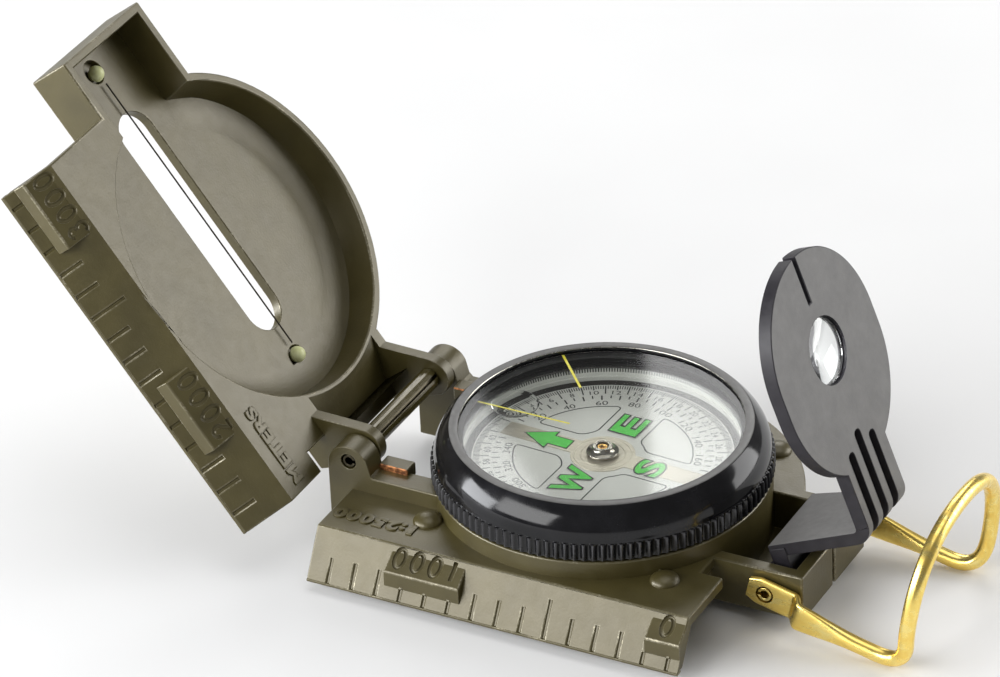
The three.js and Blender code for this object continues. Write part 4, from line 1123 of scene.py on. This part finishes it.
# Scale numbers: which, degrees for each one, radius, height, and width by how many digits they have
MIL_NUMBERS = (range(2, 64, 2), 360 / 64, 17.45, 1.05, (0.68, 1.42))
DEGREE_NUMBERS = (range(0, 360, 20), 1, 14.45, 1.15, (0.85, 1.85, 2.85))

# Printed windows between the letters
WINDOW_OUTER = 13.5
WINDOW_INNER = 6.4
WINDOW_SIDE_Y = 3.35
WINDOW_SIDE_X = {-1: 3.9, 1: 3.3}
WINDOW_ROUND = 0.9
WINDOW_LINE_HALF = 0.11

# North arrow, and the letters with their middle in X and Y, width and height
ARROW_TIP = 13.2
ARROW_NECK = 8.9
ARROW_TAIL = 5.7
ARROW_BARB = 2.3
ARROW_HALF = 1.1
ARROW_OUTLINE = 0.2
BARB_GROWTH = 1.4
TIP_GROWTH = 2.2
LETTERS = [("E", -0.2, 8.75, 5.0, 4.4), ("W", -0.35, -8.3, 7.1, 4.5), ("S", 8.3, -0.35, 4.1, 4.3)]
LETTER_WEIGHT = 0.024
LETTER_GROWTH = 0.15
LETTER_OUTLINE = 0.27
LAYER = 0.015

NEEDLE_HALF = 1.75
NEEDLE_END = 16.8
NEEDLE_MIDDLE_R = 4.9
NEEDLE_SUNK = 0.2
NEEDLE_TOP = CARD_TOP + 0.08
NEEDLE_EASE = 0.06
NEEDLE_RINGS = {3.35: 0.07, 4.35: 0.05}  # each ring's radius and rise
RING_FOOT = 0.18
RING_CREST = 0.08

# Turned profiles, as radius and height above the card
HUB_PROFILE = [
    (0, -1.1), (6.0, -1.1), (6.0, -0.42), (2.0, -0.4), (2.0, 0.32), (2.34, 0.36), (2.46, 0.46), (2.46, 0.66),
    (2.4, 0.74), (2.05, 0.88), (1.75, 1.1), (1.56, 1.36), (1.5, 1.53), (1.42, 1.6), (1.02, 1.6), (0.96, 1.54),
    (0.96, 0), (0, 0),
]
JEWEL_PROFILE = [
    (0, -0.2), (0.8, -0.2), (0.8, 1.3), (0.72, 1.38), (0.5, 1.38), (0.42, 1.26), (0.3, 0.85), (0, 0.8),
]


def scale_ticks():
    """Mils round the outside and degrees inside them."""
    shapes = []
    for k in range(MIL_MARKS):
        inner, half = MIL_MARK
        if k % 10 == 0:
            inner, half = MIL_TENTH
        elif k % 5 == 0:
            inner, half = MIL_FIFTH
        shapes.append(mark(k * 360 / MIL_MARKS, half, (inner, PRINT_LEVEL), (MIL_OUTER, PRINT_LEVEL)))
    for degrees in range(0, 360, 5):
        inner, half = DEGREE_TENTH if degrees % 10 == 0 else DEGREE_MARK
        shapes.append(mark(degrees, half, (inner, PRINT_LEVEL), (DEGREE_OUTER, PRINT_LEVEL)))
    return shapes


def scale_numbers():
    shapes = []
    for numbers, degrees, radius, height, widths in (MIL_NUMBERS, DEGREE_NUMBERS):
        for number in numbers:
            text = str(number)
            out, side = heading(number * degrees)
            spot = out * radius + Vector((0, 0, PRINT_LEVEL))
            shapes.append(moved(lettering(text, widths[len(text) - 1], height), axes(spot, side, out)))
    return shapes


def softened(corners, reach):
    """A closed path through corner points with its corners rounded."""
    step = 0.1
    dense = []
    for k, spot in enumerate(corners):
        after = corners[(k + 1) % len(corners)]
        count = max(1, round((after - spot).length / step))
        dense.extend(spot.lerp(after, j / count) for j in range(count))
    half = round(reach / step)
    path = []
    for k in range(0, len(dense), 2):
        near = [dense[(k + j) % len(dense)] for j in range(-half, half + 1)]
        path.append(sum(near, Vector((0, 0, 0))) / len(near))
    return path


def window_outline(sign_x, sign_y):
    """One of the four windows printed between the letters."""
    side_x = WINDOW_SIDE_X[sign_x]
    turns = [(math.asin(WINDOW_SIDE_Y / r), math.acos(side_x / r)) for r in (WINDOW_OUTER, WINDOW_INNER)]
    outer = arc(WINDOW_OUTER, *turns[0], 16, PRINT_LEVEL)
    inner = arc(WINDOW_INNER, *reversed(turns[1]), 16, PRINT_LEVEL)
    path = softened(outer + inner, WINDOW_ROUND)
    if sign_x * sign_y < 0:
        path.reverse()
    return ribbon([Vector((p.x * sign_x, p.y * sign_y, p.z)) for p in path], WINDOW_LINE_HALF)


def card():
    shape = disc(CARD_R, CARD_TOP - CARD_THICK, CARD_TOP, CARD_EASE)
    show("card_disc", "dial", "card_white", shape, BASE, CARD, "dial_card")
    ink = scale_ticks() + scale_numbers()
    ink += [window_outline(x, y) for x in (-1, 1) for y in (-1, 1)]
    show("card_print", "dial", "card_white", merged(ink), DIAL, INK)


def needle_outline():
    """The needle strip with its round middle, as points in X and Y."""
    turn = math.asin(NEEDLE_HALF / NEEDLE_MIDDLE_R)
    side = [Vector((NEEDLE_END, NEEDLE_HALF, 0))]
    side += arc(NEEDLE_MIDDLE_R, turn, math.pi - turn, 24)
    side += [Vector((-NEEDLE_END, NEEDLE_HALF, 0))]
    return side + [-spot for spot in side]


def needle():
    """The strip with an eased upper edge, and the rings pressed into its middle."""
    outline = needle_outline()
    levels = [(1, CARD_TOP - NEEDLE_SUNK), (1, NEEDLE_TOP - NEEDLE_EASE), (1 - NEEDLE_EASE / 8, NEEDLE_TOP)]
    shape = skin([[(p.x * scale, p.y * scale, z) for p in outline] for scale, z in levels])
    show("needle_strip", "dial", "needle_metal", shape, DIAL, NEEDLE, "dial_needle")
    rings = []
    for radius, rise in NEEDLE_RINGS.items():
        root = -NEEDLE_EASE
        section = ((-RING_FOOT, root), (-RING_CREST, rise), (RING_CREST, rise), (RING_FOOT, root))
        rings.append(lathe([(radius + out, NEEDLE_TOP + up) for out, up in section], 64, True))
    show("needle_rings", "dial", "needle_metal", merged(rings), DIAL, NEEDLE)


def arrow(grow, level):
    """The north arrow, a little above the needle."""
    neck = grow - ARROW_NECK
    half = grow + ARROW_HALF
    side = [(neck, ARROW_BARB + BARB_GROWTH * grow), (neck, half), (grow - ARROW_TAIL, half)]
    outline = [(-ARROW_TIP - TIP_GROWTH * grow, 0)] + side + [(x, -y) for x, y in reversed(side)]
    return [(x, y, level) for x, y in outline], [(0, 1, 2, 6), (2, 3, 4, 5), (2, 5, 6)]


def dial_letters(grow, level):
    shapes = []
    for text, x, y, width, height in LETTERS:
        weight = LETTER_WEIGHT + LETTER_GROWTH * grow
        shape = lettering(text, width + 2 * grow, height + 2 * grow, grow=weight)
        shapes.append(moved(shape, axes((x, y, level), (0, 1, 0), (-1, 0, 0))))
    return shapes


def letters():
    """The arrow and the letters: a dark layer that shows as an outline, and a green one above it."""
    level = NEEDLE_TOP + LAYER
    shape = merged([arrow(ARROW_OUTLINE, level)] + dial_letters(LETTER_OUTLINE, level))
    show("letter_outlines", "dial", "card_white", shape, DIAL, INK)
    level += LAYER
    shape = merged([arrow(0, level)] + dial_letters(0, level))
    show("letters_green", "dial", "card_white", shape, DIAL, GREEN)


def hub():
    shape = lathe([(radius, CARD_TOP + height) for radius, height in HUB_PROFILE], 64)
    show("hub_turned", "dial", "pin_steel", shape, BASE, HUB_STEEL, "dial_hub")
    shape = lathe([(radius, CARD_TOP + height) for radius, height in JEWEL_PROFILE], 48)
    show("jewel_turned", "dial", "loop_brass", shape, BASE, JEWEL, "jewel_bearing")


# Lens bracket, drawn upright from its pin

LENS_CENTRE = 32.2
LENS_SEAT = 16.25
LENS_R = 4.93
LENS_CROWN = 0.45
LENS_EDGE = 0.7
LENS_HOLE_R = 5.13
LENS_LIP_R = 4.63
LENS_LIP = 15.95
LENS_RING = [(4.88, 16.66), (5.1, 16.66), (5.1, 16.98), (4.94, 16.98)]
PLATE_INNER = 15.35
PLATE_OUTER = 17.55
CUT_X = (14, 19)
SLOT_HALF = 0.45
SLOT_START = LENS_CENTRE + 7.7
SLOT_END = 50
ARM_START = 0.5
ARM_UNDER = 3.6
ARM_TOP = 5.6
PLATE_FOOT = ARM_TOP + 2
ACROSS_PLATE = 0.5
ACROSS_ARM = 0.7
BEND_R = 3.0
INNER_BEND_R = 0.7
NECK_HALF = 6.5
DISC_R = 15.2
DISC_DROP = 3.5
DISC_SWEEP = 0.498 * math.pi
GRIP_HALF = 0.86
GRIP_DEPTH = 1.15
GRIP_SWEEP = 0.49 * math.pi
GRIPS = ((-4.0, 16.5), (-0.5, 18.5), (3.0, 16.5))
KNUCKLE_HALF = 7.8
BARREL_R = 2.3
BARREL_EASE = 0.2
PIN_BORE_R = 1.2
BORE_REACH = 16
WEB_FRONT = 3.2
WEB_TOP = ARM_TOP - 0.6


def sheet(rows, y=0.0):
    """A bent strip from rows of an outer point, an inner point in X and Z, and a half width."""
    rings = []
    for (outer_x, outer_z), (inner_x, inner_z), half in rows:
        outer = [(outer_x, y - half, outer_z), (outer_x, y + half, outer_z)]
        rings.append(outer + [(inner_x, y + half, inner_z), (inner_x, y - half, inner_z)])
    return skin(rings)


def bend_point(x, z, inset, radius, degrees):
    """A point on a bend whose middle lies inset from an upright face and a level one."""
    turn = math.radians(degrees)
    return x - inset + radius * math.cos(turn), z + inset + radius * math.sin(turn)


def bracket_rows():
    """The arm from its knuckle, the bend, the neck and the long disc."""
    rows = [((ARM_START, ARM_UNDER), (ARM_START, ARM_TOP), KNUCKLE_HALF)]
    for degrees in range(-90, 1, 6):
        outer = bend_point(PLATE_OUTER, ARM_UNDER, BEND_R, BEND_R, degrees)
        inner = bend_point(PLATE_INNER, ARM_TOP, INNER_BEND_R, INNER_BEND_R, degrees)
        rows.append((outer, inner, NECK_HALF))
    shoulder = math.acos(NECK_HALF / DISC_R)
    turns = [(LENS_CENTRE - DISC_DROP, -shoulder * (1 - k / 20)) for k in range(21)]
    turns += [(LENS_CENTRE, DISC_SWEEP * k / 32) for k in range(33)]
    for middle, turn in turns:
        z = middle + DISC_R * math.sin(turn)
        rows.append(((PLATE_OUTER, z), (PLATE_INNER, z), DISC_R * math.cos(turn)))
    return rows


def grip_rows(top):
    """A groove down the plate's outer face and round the bend, with a round upper end."""
    rows = []
    for degrees in range(-84, 1, 6):
        outer = bend_point(PLATE_OUTER, ARM_UNDER, BEND_R, BEND_R + 1, degrees)
        inner = bend_point(PLATE_OUTER, ARM_UNDER, BEND_R, BEND_R - GRIP_DEPTH, degrees)
        rows.append((outer, inner, GRIP_HALF))
    for k in range(6):
        turn = GRIP_SWEEP * k / 5
        z = top + GRIP_HALF * math.sin(turn)
        rows.append(((PLATE_OUTER + 1, z), (PLATE_OUTER - GRIP_DEPTH, z), GRIP_HALF * math.cos(turn)))
    return rows


def lens_axis(shape, x=0.0):
    """A lathed shape laid along the lens's own axis."""
    return moved(shape, Matrix.Translation((x, 0, LENS_CENTRE)) @ LAID_ALONG_X)


def round_lens(point):
    """Whether a point lies on the edge of the lens hole."""
    spot = LENS.inverted() @ point
    return math.hypot(spot.y, spot.z - LENS_CENTRE) < LENS_HOLE_R + 2 * NEAR


def sawn_edges(mesh):
    """Gives the faces across the sheet's thickness the edge's material."""
    mesh.materials.append(BRACKET_EDGE)
    back = LENS.inverted()
    turn = back.to_3x3()
    for face in mesh.polygons:
        way = (turn @ face.normal).normalized()
        on_plate = (back @ face.center).z > PLATE_FOOT
        if abs(way.x) < ACROSS_PLATE if on_plate else abs(way.y) > ACROSS_ARM:
            face.material_index = 2


def bracket():
    mesh = mesh_of("bracket_body", sheet(bracket_rows()), LENS)
    near, far = CUT_X
    lip = [(0, near), (LENS_LIP_R, near), (LENS_LIP_R, LENS_LIP)]
    hole = lathe(lip + [(LENS_HOLE_R, LENS_LIP), (LENS_HOLE_R, far), (0, far)], 64)
    mesh = engraved(mesh, lens_axis(hole), LENS)
    mesh = engraved(mesh, block((near, -SLOT_HALF, SLOT_START), (far, SLOT_HALF, SLOT_END)), LENS)
    for y, top in GRIPS:
        mesh = engraved(mesh, sheet(grip_rows(top), y), LENS)
    mesh = bevelled(mesh, BRACKET_BEVEL, BRACKET, BRACKET_EDGE, keep=round_lens)
    sawn_edges(mesh)
    piece("bracket_body", "lens", "bracket_grey", mesh, "lens_bracket")


def cross_bore(radius):
    """What is cut for the pin that carries the lens bracket and the loop."""
    return moved(rod(radius, -BORE_REACH, BORE_REACH, 32), LAID_ALONG_Y)


def knuckle():
    """The barrel on the pin and the web between it and the arm."""
    half = KNUCKLE_HALF
    waist = BARREL_R - BARREL_EASE
    profile = [(PIN_BORE_R, -half), (waist, -half), (BARREL_R, BARREL_EASE - half)]
    profile += [(BARREL_R, half - BARREL_EASE), (waist, half), (PIN_BORE_R, half)]
    shape = moved(lathe(profile, 64, True), LAID_ALONG_Y)
    show("bracket_barrel", "lens", "bracket_grey", shape, LENS, BRACKET_EDGE)
    mesh = mesh_of("bracket_web", block((ARM_START, -half, 0), (WEB_FRONT, half, WEB_TOP)), LENS)
    mesh = engraved(mesh, cross_bore(PIN_BORE_R), LENS)
    mesh = bevelled(mesh, BRACKET_BEVEL, BRACKET_EDGE, BRACKET_EDGE)
    piece("bracket_web", "lens", "bracket_grey", mesh)


def lens():
    shape = lens_axis(lathe(LENS_RING, 64, True))
    show("lens_ring", "lens", "bracket_grey", shape, LENS, BRACKET_EDGE, "lens_retainer")
    bulge = [(k / 12, LENS_CROWN * (1 - (k / 12) ** 2)) for k in range(13)]
    profile = [(LENS_R * share, -rise) for share, rise in bulge]
    profile += [(LENS_R * share, LENS_EDGE + rise) for share, rise in reversed(bulge)]
    shape = lens_axis(lathe(profile, 64), LENS_SEAT)
    show("lens_round", "lens", "clear_glass", shape, LENS, LENS_GLASS, "magnifier_lens")


# Thumb loop, drawn level from the same pin

LOOP_HALF = 13.6
LOOP_WIRE_R = 1.2
LOOP_ARM = 23.8
LOOP_BACK = 2.8
LOOP_KINK = 4.2
LOOP_KINK_LENGTH = 2.2
LOOP_RISE_ANGLE = math.radians(95.8)
LOOP_ELBOW = 5.0
LOOP_SPREAD = math.radians(14)
LOOP_LEG_PULL = 3.1
LOOP_CROWN_PULL = 15.9
LOOP_CROWN = 21.75
LOOP_BORE_R = 1.4
STRAP_MIDDLE = 11.7
STRAP_THICK = 1.0
STRAP_HEIGHT = 4.6
STRAP_END_HEIGHT = 2.8
STRAP_LENGTH = 8.0
STRAP_TAPER = 12.0
STRAP_SQUARE = 0.45


def loop_place(s, y):
    """A point at a height along the arch's own plane."""
    return Vector((LOOP_ARM + s * math.cos(LOOP_RISE_ANGLE), y, s * math.sin(LOOP_RISE_ANGLE)))


def loop_leg(s):
    return loop_place(s, -LOOP_HALF - s * math.tan(LOOP_SPREAD))


def loop_route():
    """The wire's middle line: strap, step out, arm, elbow and arch, and the same on the far side."""
    kink_half = LOOP_KINK + LOOP_KINK_LENGTH / 2
    kink_end = LOOP_KINK + LOOP_KINK_LENGTH
    arm_end = LOOP_ARM - LOOP_ELBOW

    def strap(x):
        return Vector((x, -STRAP_MIDDLE, 0))

    def arm(x):
        return Vector((x, -LOOP_HALF, 0))

    elbow = loop_leg(LOOP_ELBOW)
    pulls = [loop_leg(LOOP_ELBOW + LOOP_LEG_PULL), loop_place(LOOP_CROWN, -LOOP_CROWN_PULL)]
    parts = [
        ([strap(-LOOP_BACK), strap(LOOP_KINK)], 14),
        ([strap(LOOP_KINK), strap(kink_half), arm(kink_half), arm(kink_end)], 12),
        ([arm(kink_end), arm(arm_end)], 24),
        ([arm(arm_end), arm(LOOP_ARM), elbow], 16),
        ([elbow, *pulls, loop_place(LOOP_CROWN, 0)], 40),
    ]
    points = [strap(-LOOP_BACK)]
    for handles, steps in parts:
        points.extend(curve_point(handles, k / steps) for k in range(1, steps + 1))
    return points + [Vector((p.x, -p.y, p.z)) for p in reversed(points[:-1])]


def powered(value, power):
    return math.copysign(abs(value) ** power, value)


def loop_section(distance):
    """The loop's section at a distance from its nearer end: a flat strap that grows into a round wire."""
    round_share = smooth_step(distance, STRAP_LENGTH, STRAP_LENGTH + STRAP_TAPER)
    end = smooth_step(distance, -STRAP_THICK, 2 * STRAP_THICK)
    strap = (STRAP_END_HEIGHT + (STRAP_HEIGHT - STRAP_END_HEIGHT) * end) / 2
    height = strap + (LOOP_WIRE_R - strap) * round_share
    thick = STRAP_THICK / 2 + (LOOP_WIRE_R - STRAP_THICK / 2) * round_share
    power = STRAP_SQUARE + (1 - STRAP_SQUARE) * round_share
    turns = [2 * math.pi * (k + 0.5) / 24 for k in range(24)]
    return [(height * powered(math.cos(t), power), thick * powered(math.sin(t), power)) for t in turns]


def loop_shape():
    route = loop_route()
    ways = [0.0]
    for before, after in zip(route, route[1:]):
        ways.append(ways[-1] + (after - before).length)
    return tube(route, [loop_section(min(way, ways[-1] - way)) for way in ways])


def loop():
    mesh = mesh_of("loop_wire", loop_shape(), LOOP, [BRASS])
    mesh = engraved(mesh, cross_bore(LOOP_BORE_R), LOOP)
    shaded(mesh, ROUND_SHARP)
    piece("loop_wire", "loop", "loop_brass", mesh, "thumb_loop")


# Pieces inside, shown as they were drawn

INSIDE = {
    "bezel_snap_ring": PIN, "capsule_cushion": RUBBER, "fill_plug": RUBBER, "capsule_gasket": RUBBER,
    "pivot_post": STEEL, "bezel_glass_ring": RUBBER,
}


def inside():
    for node, mat in INSIDE.items():
        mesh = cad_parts[node].data
        mesh.materials.clear()
        mesh.materials.append(mat)


# Studio, in metres

AIM = Vector((-0.012, 0, 0.022))
MIRRORED = (-0.411, 0.750, 0.535)  # where the dial's glass sends the camera's view
PANEL_POWER = 4  # watts for a square metre of brightness 1
FLOOR_REACH = 4.0
CAMERA_AT = Vector((340.84, -651.70, 481.59)) * MM
CAMERA_AZIMUTH = math.radians(28.742)
CAMERA_ELEVATION = math.radians(31.229)
CAMERA_ROLL = math.radians(-2.638)
CAMERA_LENS = 209.918
CAMERA_SENSOR = 36.0


def softbox(name, direction, distance, width, height, radiance, across=0.0, roll=0.0, tint=(1, 1, 1)):
    """A soft panel of a set brightness, square to a direction, moved across it and rolled in its plane."""
    lamp = bpy.data.lights.new(name, "AREA")
    lamp.shape = "RECTANGLE"
    lamp.size = width
    lamp.size_y = height
    lamp.energy = radiance * PANEL_POWER * width * height
    lamp.color = tint
    made = placed(name, lamp)
    way = Vector(direction).normalized()
    made.location = AIM + way * distance + Vector((0, 0, 1)).cross(way).normalized() * across
    turn = way.to_track_quat("Z", "Y") @ Quaternion((0, 0, 1), math.radians(roll))
    made.rotation_euler = turn.to_euler()


def studio():
    """Two large panels, a small one, a weak one above, and two that show in the dial's glass with a gap."""
    softbox("front_left", (-0.41, -0.81, 0.41), 0.75, 0.5, 0.4, 5.5)
    softbox("back_right", (0.72, 0.62, 0.32), 0.7, 0.5, 0.46, 3.8)
    softbox("above", (0.05, 0.1, 1.0), 0.85, 0.6, 0.6, 1.1)
    softbox("left", (-0.86, -0.45, 0.22), 0.6, 0.3, 0.25, 11.0, tint=(0.95, 0.97, 1.0))
    softbox("glass_right", MIRRORED, 0.7, 0.2, 0.3, 3.2, across=-0.135)
    softbox("glass_left", MIRRORED, 0.7, 0.2, 0.3, 2.7, across=0.122, roll=30)
    world = bpy.data.worlds.new("studio")
    world.use_nodes = True
    sky = world.node_tree.nodes["Background"]
    sky.inputs["Color"].default_value = (1.0, 0.99, 0.97, 1)
    sky.inputs["Strength"].default_value = 0.2
    bpy.context.scene.world = world


def floor():
    s = Surface("studio_floor")
    mesh = bpy.data.meshes.new("studio_floor")
    corners = [(-1, -1, 0), (1, -1, 0), (1, 1, 0), (-1, 1, 0)]
    mesh.from_pydata([Vector(corner) * FLOOR_REACH for corner in corners], [], [(0, 1, 2, 3)])
    shade = s.ramp(s.noise(0.02, 2.0), (0.79, 0.79, 0.79), (0.82, 0.82, 0.82))
    mesh.materials.append(s.dress(colour=shade, rough=0.9))
    placed("studio_floor", mesh)


def camera():
    back = polar(math.cos(CAMERA_ELEVATION), CAMERA_AZIMUTH - math.pi / 2, math.sin(CAMERA_ELEVATION))
    right = polar(1, CAMERA_AZIMUTH)
    up = back.cross(right)
    across = right * math.cos(CAMERA_ROLL) + up * math.sin(CAMERA_ROLL)
    above = up * math.cos(CAMERA_ROLL) - right * math.sin(CAMERA_ROLL)
    eye = bpy.data.cameras.new("camera")
    eye.lens = CAMERA_LENS
    eye.sensor_width = CAMERA_SENSOR
    made = placed("camera", eye)
    made.matrix_world = Matrix((across, above, back)).transposed().to_4x4()
    made.location = CAMERA_AT
    bpy.context.scene.camera = made


base()
cover()
hinge()
sight()
bezel()
glazing()
capsule()
wall_marks()
bubble()
card()
needle()
letters()
hub()
bracket()
knuckle()
lens()
loop()
inside()
studio()
floor()
camera()
bpy.context.scene.view_settings.view_transform = "Standard"
